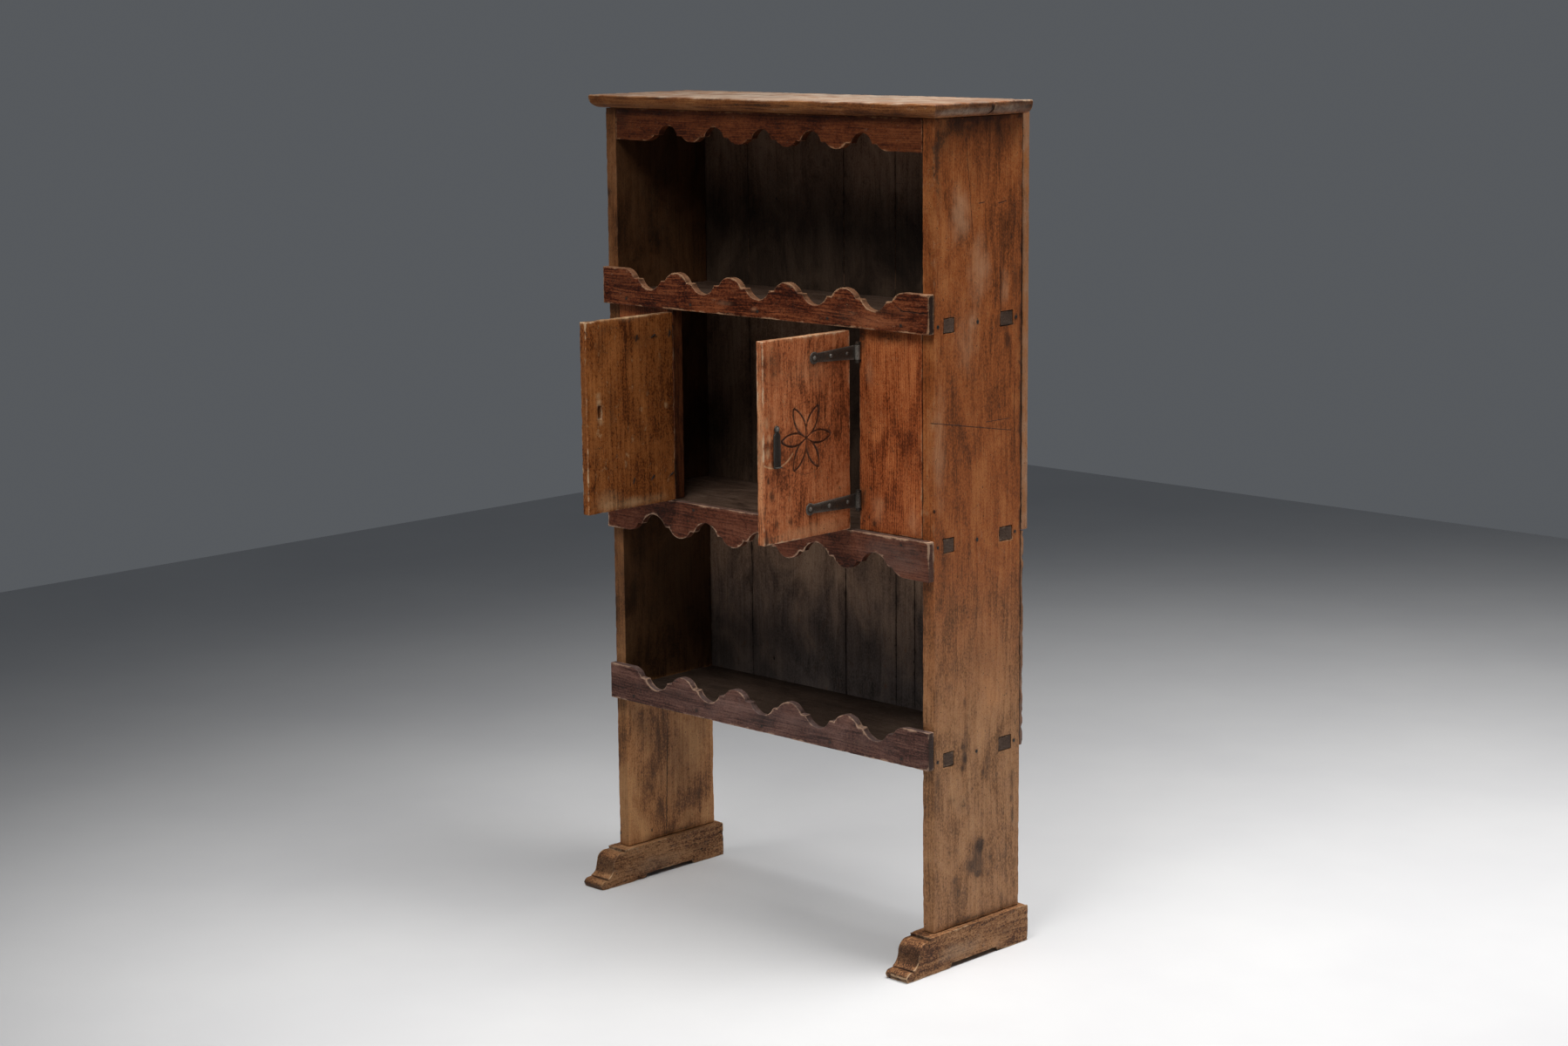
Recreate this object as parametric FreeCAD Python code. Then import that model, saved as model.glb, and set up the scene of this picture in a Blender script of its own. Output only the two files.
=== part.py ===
import FreeCAD, Part
import math
import os
from collections import namedtuple

Vector = FreeCAD.Vector

# An open dresser of nailed and tenoned planks: two side boards on trestle feet, three shelves,
# scalloped rails and aprons, and a two-door cupboard between the upper and middle shelves.
# Sizes are in millimetres. The origin is on the floor, midway between the sides, in the plane
# of the side boards' front edges. +X is right, +Y is back and +Z is up.

# Case
case_width = 900.0
case_depth = 257.0
case_height = 1675.0
side_thickness = 30.0
shelf_thickness = 27.0
upper_shelf_underside = 1246.0
middle_shelf_top = 852.0
lower_shelf_underside = 404.0

# Through tenons on the shelf ends
front_tenon_inset = 28.0
front_tenon_width = 30.0
rear_tenon_inset = 27.0
rear_tenon_width = 37.0

# Top, two planks with a moulded front and ends
top_thickness = 27.0
top_overhang = 25.0
top_rear_plank_width = 111.0
top_moulding_radius = 20.0
top_edge_radius = 4.0

# Trestle feet
foot_width = 56.0
foot_height = 75.0
foot_rear_reach = 14.0
foot_corner_radius = 5.0
foot_top_chamfer = 3.0
toe_reach = 94.0
toe_height = 18.5
toe_nose_height = 9.0
toe_undercut = 4.0
toe_nose_length = 13.0
toe_ledge = 8.0
ogee_cove_length = 16.0
ogee_cove_hollow = 3.5
foot_ledge_drop = 5.5
foot_ledge_length = 11.0
foot_top_reach = 23.0
sole_relief_height = 9.0
sole_relief_front = 30.0
sole_relief_length = 153.0

# Stub tenons that hold the side boards in the feet
stub_tenon_thickness = 18.0
stub_tenon_width = 70.0
stub_tenon_depth = 45.0
stub_tenon_inset = 25.0

# Scalloped boards
rail_thickness = 16.0
rail_height = 76.0
apron_height = 78.0
top_apron_thickness = 18.0
top_apron_height = 65.0
Scallop = namedtuple("Scallop", "pitch hollow_half crest_half step_drop hollow_drop least_end")
rail_scallop = Scallop(
    pitch=155.0, hollow_half=32.5, crest_half=32.0, step_drop=19.0, hollow_drop=39.5, least_end=50.0)
apron_scallop = Scallop(
    pitch=155.0, hollow_half=34.0, crest_half=31.5, step_drop=18.0, hollow_drop=41.0, least_end=50.0)
top_apron_scallop = Scallop(
    pitch=133.0, hollow_half=27.0, crest_half=27.0, step_drop=12.0, hollow_drop=32.5, least_end=70.0)

# Back planks, counted from the left seen from the front
back_thickness = 20.0
back_plank_gap = 1.5
left_plank_width = 156.0
wide_plank_width = 274.0
centre_plank_width = 141.0
infill_plank_width = 51.0
lower_back_thickness = 9.0
back_top_drop = 5.0

# Cupboard front
panel_width = 162.0
panel_thickness = 26.0
door_thickness = 17.0
door_gap = 3.5
hinge_gap = 13.0
meeting_gap = 4.0
right_door_open = 91.0
left_door_open = 89.0

# Strap hinges
strap_thickness = 2.5
strap_lift = 0.5
strap_joggle_overlap = 4.0
strap_eye_radius = 5.5
strap_eye_height = 28.5
strap_neck_half = 9.0
strap_bulb_radius = 12.0
upper_strap_length = 115.0
lower_strap_length = 129.0
upper_strap_drop = 44.0
lower_strap_rise = 54.5
strap_edge_nail = 11.0
pin_radius = 3.0
pin_reach = 1.5
running_clearance = 0.05
end_play = 0.4
hinge_reach = 2.0
jamb_eye_radius = 4.6
jamb_eye_height = 5.3
jamb_spike_width = 3.2
jamb_spike_length = 22.0

# Latch bar on the right door and the slot in the left door that its tip meets
latch_inset = 35.0
latch_drop = 168.0
latch_length = 74.0
latch_thickness = 3.0
latch_lift = 0.4
latch_eye_radius = 7.0
latch_neck_half = 4.5
latch_shoulder_drop = 12.0
latch_shoulder_half = 9.0
latch_tip_half = 9.5
latch_swell = 0.5
latch_lip_length = 4.0
latch_lip_thickness = 2.5
latch_nail_radius = 2.0
latch_nail_depth = 13.0
latch_nail_head_half = 4.8
latch_nail_head_flat = 1.8
latch_nail_head_height = 2.6
slot_width = 9.0
slot_height = 27.0
slot_drop = 15.0

# Forged nails
nail_side = 3.2
nail_head_half = 4.2
nail_head_flat = 1.4
nail_head_height = 2.0
rail_nail_bite = 22.0
side_nail_bite = 22.0
strap_nail_bite = 12.5
rail_nail_spacing = 190.0
front_nail_inset = 11.0
rear_nail_inset = 18.0

# Points nearer than this count as one
touching = 1e-6

# Places worked out from the sizes above
half_width = case_width / 2
inner_half = half_width - side_thickness
top_underside = case_height - top_thickness
middle_shelf_underside = middle_shelf_top - shelf_thickness
shelf_undersides = (upper_shelf_underside, middle_shelf_underside, lower_shelf_underside)
top_seam = case_depth - top_rear_plank_width
opening_half = inner_half - panel_width
door_hinge_edge = opening_half - hinge_gap
door_free_edge = meeting_gap / 2
door_bottom = middle_shelf_top + door_gap
door_top = upper_shelf_underside - door_gap
upper_strap_z = door_top - upper_strap_drop
lower_strap_z = door_bottom + lower_strap_rise
straps = (("upper", upper_strap_z, upper_strap_length), ("lower", lower_strap_z, lower_strap_length))
hinge_x = opening_half + hinge_reach
hinge_y = -(strap_lift + strap_eye_radius)
latch_x = door_free_edge + latch_inset
latch_z = door_top - latch_drop
latch_front = -(latch_lift + latch_thickness)

pieces = {}


def front_point(across, up):
    """A point of an outline seen from the front."""
    return Vector(across, 0, up)


def side_point(back, up):
    """A point of an outline seen from the side."""
    return Vector(0, back, up)


class Outline:
    """A chain of straight and round stretches in one upright plane."""

    def __init__(self, to_space, u, v):
        self.to_space = to_space
        self.here = (u, v)
        self.start = (u, v)
        self.edges = []

    def line(self, u, v):
        if math.dist(self.here, (u, v)) > touching:
            segment = Part.LineSegment(self.to_space(*self.here), self.to_space(u, v))
            self.edges.append(segment.toShape())
        self.here = (u, v)

    def arc(self, middle, end):
        curve = Part.Arc(self.to_space(*self.here), self.to_space(*middle), self.to_space(*end))
        self.edges.append(curve.toShape())
        self.here = end

    def bow(self, u, v, rise):
        """An arc to a point, standing off its chord by rise on the left of the way there."""
        run_u = u - self.here[0]
        run_v = v - self.here[1]
        chord = math.hypot(run_u, run_v)
        middle_u = (u + self.here[0]) / 2 - run_v / chord * rise
        middle_v = (v + self.here[1]) / 2 + run_u / chord * rise
        self.arc((middle_u, middle_v), (u, v))

    def solid(self, push):
        self.line(*self.start)
        return Part.Face(Part.Wire(self.edges)).extrude(push)


def level_arc_middle(level, far):
    """The middle of an arc that runs level at one end and ends at far."""
    run = far[0] - level[0]
    drop = far[1] - level[1]
    radius = (run ** 2 + drop ** 2) / (2 * drop)
    half_turn = math.atan2(abs(run), abs(radius) - abs(drop)) / 2
    across = math.copysign(abs(radius) * math.sin(half_turn), run)
    return (level[0] + across, level[1] + radius * (1 - math.cos(half_turn)))


def box(low, high):
    """A block between two opposite corners."""
    size = Vector(*high) - Vector(*low)
    return Part.makeBox(size.x, size.y, size.z, Vector(*low))


def rod(radius, height, base, direction):
    """A round rod that starts at base."""
    return Part.makeCylinder(radius, height, Vector(*base), direction)


def hinge_rod(radius, low, high):
    """A round rod on the right hinge's axis."""
    return rod(radius, high - low, (hinge_x, hinge_y, low), Vector(0, 0, 1))


def mirrored(shape):
    """The same piece for the left side."""
    return shape.mirror(Vector(0, 0, 0), Vector(1, 0, 0))


def forged_head(wide, flat, height):
    """A four-sided nail head that tapers toward -Y from its base at y = 0."""
    return Part.makeWedge(-flat, -height, -flat, -wide, -wide, flat, 0, flat, wide, wide)


def forged_nail(length):
    """A square nail, its shank along +Y and its head's base at y = 0."""
    half = nail_side / 2
    shank = box((-half, 0, -half), (half, length, half))
    return forged_head(nail_head_half, nail_head_flat, nail_head_height).fuse(shank).removeSplitter()


def placed_nails(length, spots, turn=0.0):
    """Copies of one nail, turned from +Y about an upright axis and moved to each spot."""
    pattern = forged_nail(length)
    pattern.rotate(Vector(0, 0, 0), Vector(0, 0, 1), turn)
    return [pattern.translated(Vector(*spot)) for spot in spots]


def drive(group, nails, *boards):
    """Stores a group of nails or spikes and opens their holes in the boards that they pass through."""
    pieces[group] = Part.makeCompound(nails)
    for board in boards:
        pieces[board] = pieces[board].cut(nails)


def tenon_spans():
    """The front and rear tenons of every shelf, as front and back edges."""
    front = (front_tenon_inset, front_tenon_inset + front_tenon_width)
    rear_end = case_depth - rear_tenon_inset
    return (front, (rear_end - rear_tenon_width, rear_end))


def shelf(underside):
    """A shelf plank with two through tenons at each end."""
    top = underside + shelf_thickness
    plank = box((-inner_half, 0, underside), (inner_half, case_depth, top))
    tenons = [box((-half_width, front, underside), (half_width, back, top)) for front, back in tenon_spans()]
    return plank.fuse(tenons).removeSplitter()


def stub_tenons():
    """The two tenons under the right side board."""
    middle = half_width - side_thickness / 2
    left = middle - stub_tenon_thickness / 2
    right = middle + stub_tenon_thickness / 2
    starts = (stub_tenon_inset, case_depth - stub_tenon_inset - stub_tenon_width)
    low = foot_height - stub_tenon_depth
    return [box((left, y, low), (right, y + stub_tenon_width, foot_height)) for y in starts]


def right_side():
    """The right side board, mortised for the shelves."""
    board = box((inner_half, 0, foot_height), (half_width, case_depth, top_underside))
    board = board.fuse(stub_tenons()).removeSplitter()
    mortises = [box((inner_half, front, low), (half_width, back, low + shelf_thickness))
                for low in shelf_undersides for front, back in tenon_spans()]
    return board.cut(mortises)


def right_foot():
    """The right foot: an ogee toe, a coved relief under the sole and mortises for the side."""
    rear = case_depth + foot_rear_reach
    relief_rear = sole_relief_front + sole_relief_length
    cove = sole_relief_height
    cove_bow = cove * (math.sqrt(2) - 1) / math.sqrt(2)
    toe_top_end = -(toe_reach - toe_nose_length)
    cove_foot = toe_top_end + toe_ledge
    ogee_top = foot_height - foot_ledge_drop
    ogee_middle = (cove_foot + ogee_cove_length, (toe_height + ogee_top) / 2)
    ogee_end = (-foot_top_reach - foot_ledge_length, ogee_top)
    nose = (-toe_reach, toe_nose_height)
    profile = Outline(side_point, rear, 0)
    profile.line(relief_rear, 0)
    profile.bow(relief_rear - cove, cove, cove_bow)
    profile.line(sole_relief_front + cove, cove)
    profile.bow(sole_relief_front, 0, cove_bow)
    profile.line(toe_undercut - toe_reach, 0)
    profile.line(*nose)
    profile.arc(level_arc_middle((toe_top_end, toe_height), nose), (toe_top_end, toe_height))
    profile.line(cove_foot, toe_height)
    profile.bow(*ogee_middle, -ogee_cove_hollow)
    profile.arc(level_arc_middle(ogee_end, ogee_middle), ogee_end)
    profile.line(-foot_top_reach, ogee_top)
    profile.line(-foot_top_reach, foot_height)
    profile.line(rear - foot_corner_radius, foot_height)
    corner_end = (rear, foot_height - foot_corner_radius)
    profile.arc(level_arc_middle((rear - foot_corner_radius, foot_height), corner_end), corner_end)
    block = profile.solid(Vector(foot_width, 0, 0))
    long_edges = [e for e in block.Edges if abs(e.CenterOfMass.z - foot_height) < touching
                  and abs(e.Vertexes[0].Y - e.Vertexes[-1].Y) > foot_width]
    block = block.makeChamfer(foot_top_chamfer, long_edges)
    block.translate(Vector(half_width - side_thickness / 2 - foot_width / 2, 0, 0))
    return block.cut(stub_tenons())


def moulded_top():
    """The whole top with its front and ends rounded under, before it is split into planks."""
    end = half_width + top_overhang
    slab = box((-end, -top_overhang, top_underside), (end, case_depth, case_height))

    def shown_edges(shape, z):
        return [e for e in shape.Edges if abs(e.CenterOfMass.z - z) < touching
                and e.CenterOfMass.y < case_depth - touching]

    slab = slab.makeFillet(top_moulding_radius, shown_edges(slab, top_underside))
    return slab.makeFillet(top_edge_radius, shown_edges(slab, case_height))


def top_planks():
    """The top split along its seam into a front and a rear plank."""
    slab = moulded_top()
    reach = half_width + top_overhang
    front = box((-reach, -top_overhang, top_underside), (reach, top_seam, case_height))
    pieces["top_front_plank"] = slab.common(front)
    pieces["top_rear_plank"] = slab.cut(front)


def scalloped_edge(outline, length, plain, inward, cut):
    """Runs left to right along a shaped edge: crests, small steps and round hollows in turn."""
    count = int((length - 2 * cut.least_end) / cut.pitch)
    first = -(count - 1) / 2 * cut.pitch
    step = plain + inward * cut.step_drop
    for number in range(count):
        middle = first + number * cut.pitch
        crests = (middle - cut.pitch / 2, middle + cut.pitch / 2)
        falls = ((crests[0] + cut.crest_half, step), (crests[1] - cut.crest_half, step))
        outline.line(crests[0], plain)
        outline.arc(level_arc_middle((crests[0], plain), falls[0]), falls[0])
        outline.line(middle - cut.hollow_half, step)
        outline.arc((middle, plain + inward * cut.hollow_drop), (middle + cut.hollow_half, step))
        outline.line(*falls[1])
        outline.arc(level_arc_middle((crests[1], plain), falls[1]), (crests[1], plain))


def scalloped_board(half_length, straight_z, shaped_z, thickness, cut):
    """A board with one straight and one shaped long edge, its back in the plane y = 0."""
    inward = math.copysign(1.0, straight_z - shaped_z)
    outline = Outline(front_point, -half_length, straight_z)
    outline.line(-half_length, shaped_z)
    scalloped_edge(outline, 2 * half_length, shaped_z, inward, cut)
    outline.line(half_length, shaped_z)
    outline.line(half_length, straight_z)
    return outline.solid(Vector(0, -thickness, 0))


def rails_and_aprons():
    """Two gallery rails and an apron over the sides' front edges, and an apron between the sides."""
    for level, low in (("upper", upper_shelf_underside), ("lower", lower_shelf_underside)):
        pieces[f"{level}_gallery_rail"] = scalloped_board(
            half_width, low, low + rail_height, rail_thickness, rail_scallop)
    pieces["middle_apron"] = scalloped_board(
        half_width, middle_shelf_top, middle_shelf_top - apron_height, rail_thickness, apron_scallop)
    top_apron = scalloped_board(
        inner_half, top_underside, top_underside - top_apron_height, top_apron_thickness, top_apron_scallop)
    pieces["top_apron"] = top_apron.translated(Vector(0, top_apron_thickness, 0))


def back_planks():
    """Upright planks over the rear edges; the right one is patched low down with two thinner ones."""
    low = lower_shelf_underside
    top = case_height - back_top_drop
    patch_joint = middle_shelf_underside + shelf_thickness / 2
    patch_top = patch_joint - back_plank_gap
    left_end = -half_width + left_plank_width
    wide_end = left_end + wide_plank_width
    centre_end = wide_end + centre_plank_width
    infill_end = centre_end + infill_plank_width
    right_end = half_width + back_plank_gap
    planks = (
        ("back_plank_left", -half_width, left_end, low, top, back_thickness),
        ("back_plank_wide", left_end, wide_end, low, top, back_thickness),
        ("back_plank_centre", wide_end, centre_end, low, top, back_thickness),
        ("back_plank_right", centre_end, right_end, patch_joint, top, back_thickness),
        ("back_plank_infill", centre_end, infill_end, low, patch_top, lower_back_thickness),
        ("back_plank_patch", infill_end, right_end, low, patch_top, lower_back_thickness))
    for name, left, right, bottom, upper, thickness in planks:
        far_corner = (right - back_plank_gap, case_depth + thickness, upper)
        pieces[name] = box((left, case_depth, bottom), far_corner)


def case_nails():
    """Nails through the rails and the sides into the shelves."""
    count = int(inner_half / rail_nail_spacing)
    across = [number * rail_nail_spacing for number in range(-count, count + 1)]
    middles = [z + shelf_thickness / 2 for z in shelf_undersides]
    rail_spots = [(x, -rail_thickness, z) for z in middles for x in across]
    rail_nails = placed_nails(rail_thickness + rail_nail_bite, rail_spots)
    drive("rail_nails", rail_nails, "upper_gallery_rail", "middle_apron", "lower_gallery_rail",
          "shelf_upper", "shelf_middle", "shelf_lower")
    tenons = tenon_spans()
    between = (tenons[0][1] + tenons[1][0]) / 2
    rows = (front_nail_inset, between, case_depth - rear_nail_inset)
    right_spots = [(half_width, y, z) for z in middles for y in rows]
    right = placed_nails(side_thickness + side_nail_bite, right_spots, turn=90.0)
    drive("side_nails", right + [mirrored(n) for n in right], "side_left", "side_right", "shelf_upper",
          "shelf_middle", "shelf_lower")


def shut_strap(z, length):
    """A tapered strap with a bulb end and a rolled eye, on the shut right door."""
    half = strap_eye_height / 2
    bulb_x = door_hinge_edge - length + strap_bulb_radius
    neck_x = bulb_x + math.sqrt(strap_bulb_radius ** 2 - strap_neck_half ** 2)
    outline = Outline(front_point, hinge_x, z + half)
    outline.line(neck_x, z + strap_neck_half)
    outline.arc((bulb_x - strap_bulb_radius, z), (neck_x, z - strap_neck_half))
    outline.line(hinge_x, z - half)
    plate = outline.solid(Vector(0, -strap_thickness, 0))
    lifted = plate.translated(Vector(0, -strap_lift, 0))
    over_gap = box((door_hinge_edge, -strap_thickness, z - half), (hinge_x, 0, z + half))
    arm = box((door_hinge_edge - strap_joggle_overlap, -strap_thickness - strap_lift, z - half),
              (hinge_x, -strap_lift, z + half))
    eye = hinge_rod(strap_eye_radius, z - half, z + half)
    bore = hinge_rod(pin_radius + running_clearance, z - half, z + half)
    return plate.cut(over_gap).fuse([lifted.common(arm), eye]).cut(bore).removeSplitter()


def jamb_eyes(z):
    """Two eyes that hold the pin above and below the strap's own, on spikes driven into the right panel."""
    near = strap_eye_height / 2 + end_play
    far = near + jamb_eye_height
    eyes = []
    for low, high in ((z - far, z - near), (z + near, z + far)):
        spike = box((hinge_x, hinge_y, low), (hinge_x + jamb_spike_width, jamb_spike_length, high))
        eyes.append(hinge_rod(jamb_eye_radius, low, high).fuse(spike).cut(hinge_pin(z)).removeSplitter())
    return eyes


def hinge_pin(z):
    """A plain pin through the eyes of a jamb and a strap, standing out a little at both ends."""
    half = strap_eye_height / 2 + end_play + jamb_eye_height + pin_reach
    return hinge_rod(pin_radius, z - half, z + half)


def shut_door():
    """The right door plank when shut, flush with the panels."""
    return box((door_free_edge, 0, door_bottom), (door_hinge_edge, door_thickness, door_top))


def strap_nail_spots():
    """Three nails in each strap: in the bulb, halfway and near the door's edge."""
    spots = []
    for _, z, length in straps:
        bulb = length - strap_bulb_radius
        reaches = (strap_edge_nail, (strap_edge_nail + bulb) / 2, bulb)
        spots += [(door_hinge_edge - reach, -strap_thickness, z) for reach in reaches]
    return spots


def latch_bar():
    """A flat bar that hangs from a nail on the shut right door, its tip turned out in a lip."""
    low = latch_z - latch_length
    shoulder = latch_z - latch_shoulder_drop
    outline = Outline(front_point, latch_x - latch_neck_half, latch_z)
    outline.line(latch_x - latch_shoulder_half, shoulder)
    outline.bow(latch_x - latch_tip_half, low, -latch_swell)
    outline.line(latch_x + latch_tip_half, low)
    outline.bow(latch_x + latch_shoulder_half, shoulder, -latch_swell)
    outline.line(latch_x + latch_neck_half, latch_z)
    body = outline.solid(Vector(0, -latch_thickness, 0)).translated(Vector(0, -latch_lift, 0))
    front = (latch_x, latch_front, latch_z)
    eye = rod(latch_eye_radius, latch_thickness, front, Vector(0, 1, 0))
    lip = box((latch_x - latch_tip_half, latch_front - latch_lip_length, low),
              (latch_x + latch_tip_half, latch_front, low + latch_lip_thickness))
    hole = rod(latch_nail_radius + running_clearance, latch_thickness, front, Vector(0, 1, 0))
    return body.fuse([eye, lip]).cut(hole).removeSplitter()


def latch_nail():
    """The nail with a round shank that the latch bar turns on."""
    head_base = Vector(latch_x, latch_front - end_play, latch_z)
    shank = rod(latch_nail_radius, latch_nail_depth - head_base.y, head_base, Vector(0, 1, 0))
    head = forged_head(latch_nail_head_half, latch_nail_head_flat, latch_nail_head_height)
    return shank.fuse(head.translated(head_base)).removeSplitter()


def keeper_slot():
    """The slot through the left door where the level latch bar's tip comes, as a cutter."""
    middle = -(latch_length - latch_inset - meeting_gap / 2)
    top = latch_z - slot_drop + slot_height / 2
    straight_top = top - slot_width / 2
    outline = Outline(front_point, middle - slot_width / 2, top - slot_height)
    outline.line(middle - slot_width / 2, straight_top)
    outline.arc((middle, top), (middle + slot_width / 2, straight_top))
    outline.line(middle + slot_width / 2, top - slot_height)
    return outline.solid(Vector(0, door_thickness, 0))


def swung_open(shape, sign, angle):
    """A shut door's piece turned about its hinge axis to its standing place."""
    turned = shape.copy()
    turned.rotate(Vector(sign * hinge_x, hinge_y, 0), Vector(0, 0, 1), sign * angle)
    return turned


def doors():
    """Both doors with their straps and nails, and the latch on the right door, standing open."""
    nails = placed_nails(strap_thickness + strap_nail_bite, strap_nail_spots())
    nailed_door = shut_door().cut(nails)
    pivot = latch_nail()
    right = {"door_right": nailed_door.cut(pivot), "latch_bar": latch_bar(), "latch_nail": pivot}
    left = {"door_left": mirrored(nailed_door).cut(keeper_slot())}
    for level, z, length in straps:
        strap = shut_strap(z, length).cut(nails)
        right[f"strap_right_{level}"] = strap
        left[f"strap_left_{level}"] = mirrored(strap)
    right["strap_nails_right"] = Part.makeCompound(nails)
    left["strap_nails_left"] = Part.makeCompound([mirrored(n) for n in nails])
    for name, shape in right.items():
        pieces[name] = swung_open(shape, 1, right_door_open)
    for name, shape in left.items():
        pieces[name] = swung_open(shape, -1, left_door_open)


def cupboard_front():
    """The fixed panels each side of the doors, with the hinge eyes driven into them and the pins."""
    panel = box((opening_half, 0, middle_shelf_top), (inner_half, panel_thickness, upper_shelf_underside))
    pieces["panel_right"] = panel
    pieces["panel_left"] = mirrored(panel)
    levels = [z for _, z, _ in straps]
    eyes = [eye for z in levels for eye in jamb_eyes(z)]
    drive("jamb_eyes_right", eyes, "panel_right")
    drive("jamb_eyes_left", [mirrored(eye) for eye in eyes], "panel_left")
    pins = [hinge_pin(z) for z in levels]
    pieces["hinge_pins"] = Part.makeCompound(pins + [mirrored(p) for p in pins])


def build():
    pieces["side_right"] = right_side()
    pieces["side_left"] = mirrored(pieces["side_right"])
    pieces["foot_right"] = right_foot()
    pieces["foot_left"] = mirrored(pieces["foot_right"])
    for name, underside in zip(("shelf_upper", "shelf_middle", "shelf_lower"), shelf_undersides):
        pieces[name] = shelf(underside)
    top_planks()
    rails_and_aprons()
    back_planks()
    case_nails()
    cupboard_front()
    doors()


def write():
    os.makedirs("parts", exist_ok=True)
    for name, shape in pieces.items():
        shape.exportStep(f"parts/{name}.step")


build()
write()
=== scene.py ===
import math
import random

import bmesh
import bpy
from mathutils import Matrix, Vector, kdtree, noise


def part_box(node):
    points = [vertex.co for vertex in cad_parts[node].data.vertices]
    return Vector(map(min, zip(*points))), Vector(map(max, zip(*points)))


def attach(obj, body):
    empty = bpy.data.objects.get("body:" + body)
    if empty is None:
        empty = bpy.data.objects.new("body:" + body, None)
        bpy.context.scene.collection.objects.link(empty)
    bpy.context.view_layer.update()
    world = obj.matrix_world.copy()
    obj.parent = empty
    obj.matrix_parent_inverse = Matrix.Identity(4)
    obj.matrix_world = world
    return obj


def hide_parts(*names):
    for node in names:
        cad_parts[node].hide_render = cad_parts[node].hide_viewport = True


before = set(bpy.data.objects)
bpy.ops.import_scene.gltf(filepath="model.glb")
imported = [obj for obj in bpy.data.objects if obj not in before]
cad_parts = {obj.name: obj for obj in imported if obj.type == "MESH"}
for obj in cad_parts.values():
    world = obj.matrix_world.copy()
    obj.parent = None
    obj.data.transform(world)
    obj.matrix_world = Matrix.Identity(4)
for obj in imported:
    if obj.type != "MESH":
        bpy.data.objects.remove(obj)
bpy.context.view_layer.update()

# Pieces are worked in millimetres and brought to metres when they are finished.
mm = 0.001
ways = (Vector((1, 0, 0)), Vector((0, 1, 0)), Vector((0, 0, 1)))
corner_angle = math.radians(40)
rim_step, weld = 3.0, 0.01

# Places that the solids share with the dressed pieces
shelves = ("shelf_upper", "shelf_middle", "shelf_lower")
tenon_spans = ((28.0, 58.0), (193.0, 230.0))
tenon_reach = 29.4
mortise_slack = 0.7
hinge_x = 260.0
hinge_y = -6.0
right_door_open = 91.0
left_door_open = 89.0
door_low = Vector((2.0, 0.0, 855.5))
door_high = Vector((245.0, 17.0, 1242.5))
strap_levels = (("upper", 1198.5, 115.0), ("lower", 910.0, 129.0))
latch_eye = Vector((37.0, 0.0, 1074.5))
slot_low, slot_high = (-41.5, 0.0, 1046.0), (-32.5, 0.0, 1073.0)

rail_nail_places = (-380, -190, 0, 190, 380)
side_nail_places = (11.0, 125.5, 239.0)
strap_nail_reach = 11.0
strap_bulb = 12.0

# Faces and levels where marks, grime and painted shade are laid
outer_side, inner_side, side_skin = 450, 420, 20
rail_face, door_back, back_face = -16, 17, 257
top_front, top_end = -25, 475
front_skin, board_skin, top_skin = 12, 10, 14
upper_bay_floor, cupboard_floor, lower_bay_floor = 1260, 850, 425

# Lengths of the unevenness that wear leaves on a surface
sway_length, ripple_length, small_bite, large_bite = 170, 24, 15, 48
ragged_length, fine_ragged_length, rub_length, rub_reach = 30, 11, 60, 2.4

# What is painted at each point of a wooden piece: stain, haze with painted highlight, edge wear, and grime with
# painted shade
STAIN, HAZE_AND_HIGHLIGHT, WEAR, GRIME_AND_SHADE = range(4)


def node_box(node):
    """A solid's lowest and highest corners in millimetres."""
    low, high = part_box(node)
    return low / mm, high / mm


shelf_middles = [(node_box(s)[0].z + node_box(s)[1].z) / 2 for s in shelves]


def smooth_step(value):
    value = min(max(value, 0.0), 1.0)
    return value * value * (3 - 2 * value)


def place_object(name, data):
    made = bpy.data.objects.new(name, data)
    bpy.context.scene.collection.objects.link(made)
    return made


def on_face(axis, place, reach, stains=(), hazes_and_highlights=()):
    """Marks on a face square to an axis: two places, two reaches along the other axes, and a strength."""
    marks = []
    for channel, spots in ((STAIN, stains), (HAZE_AND_HIGHLIGHT, hazes_and_highlights)):
        for u, v, wide, tall, strength in spots:
            middle, reaches = [u, v], [wide, tall]
            middle.insert(axis, place)
            reaches.insert(axis, reach)
            marks.append((channel, middle, reaches, strength))
    return marks


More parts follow.
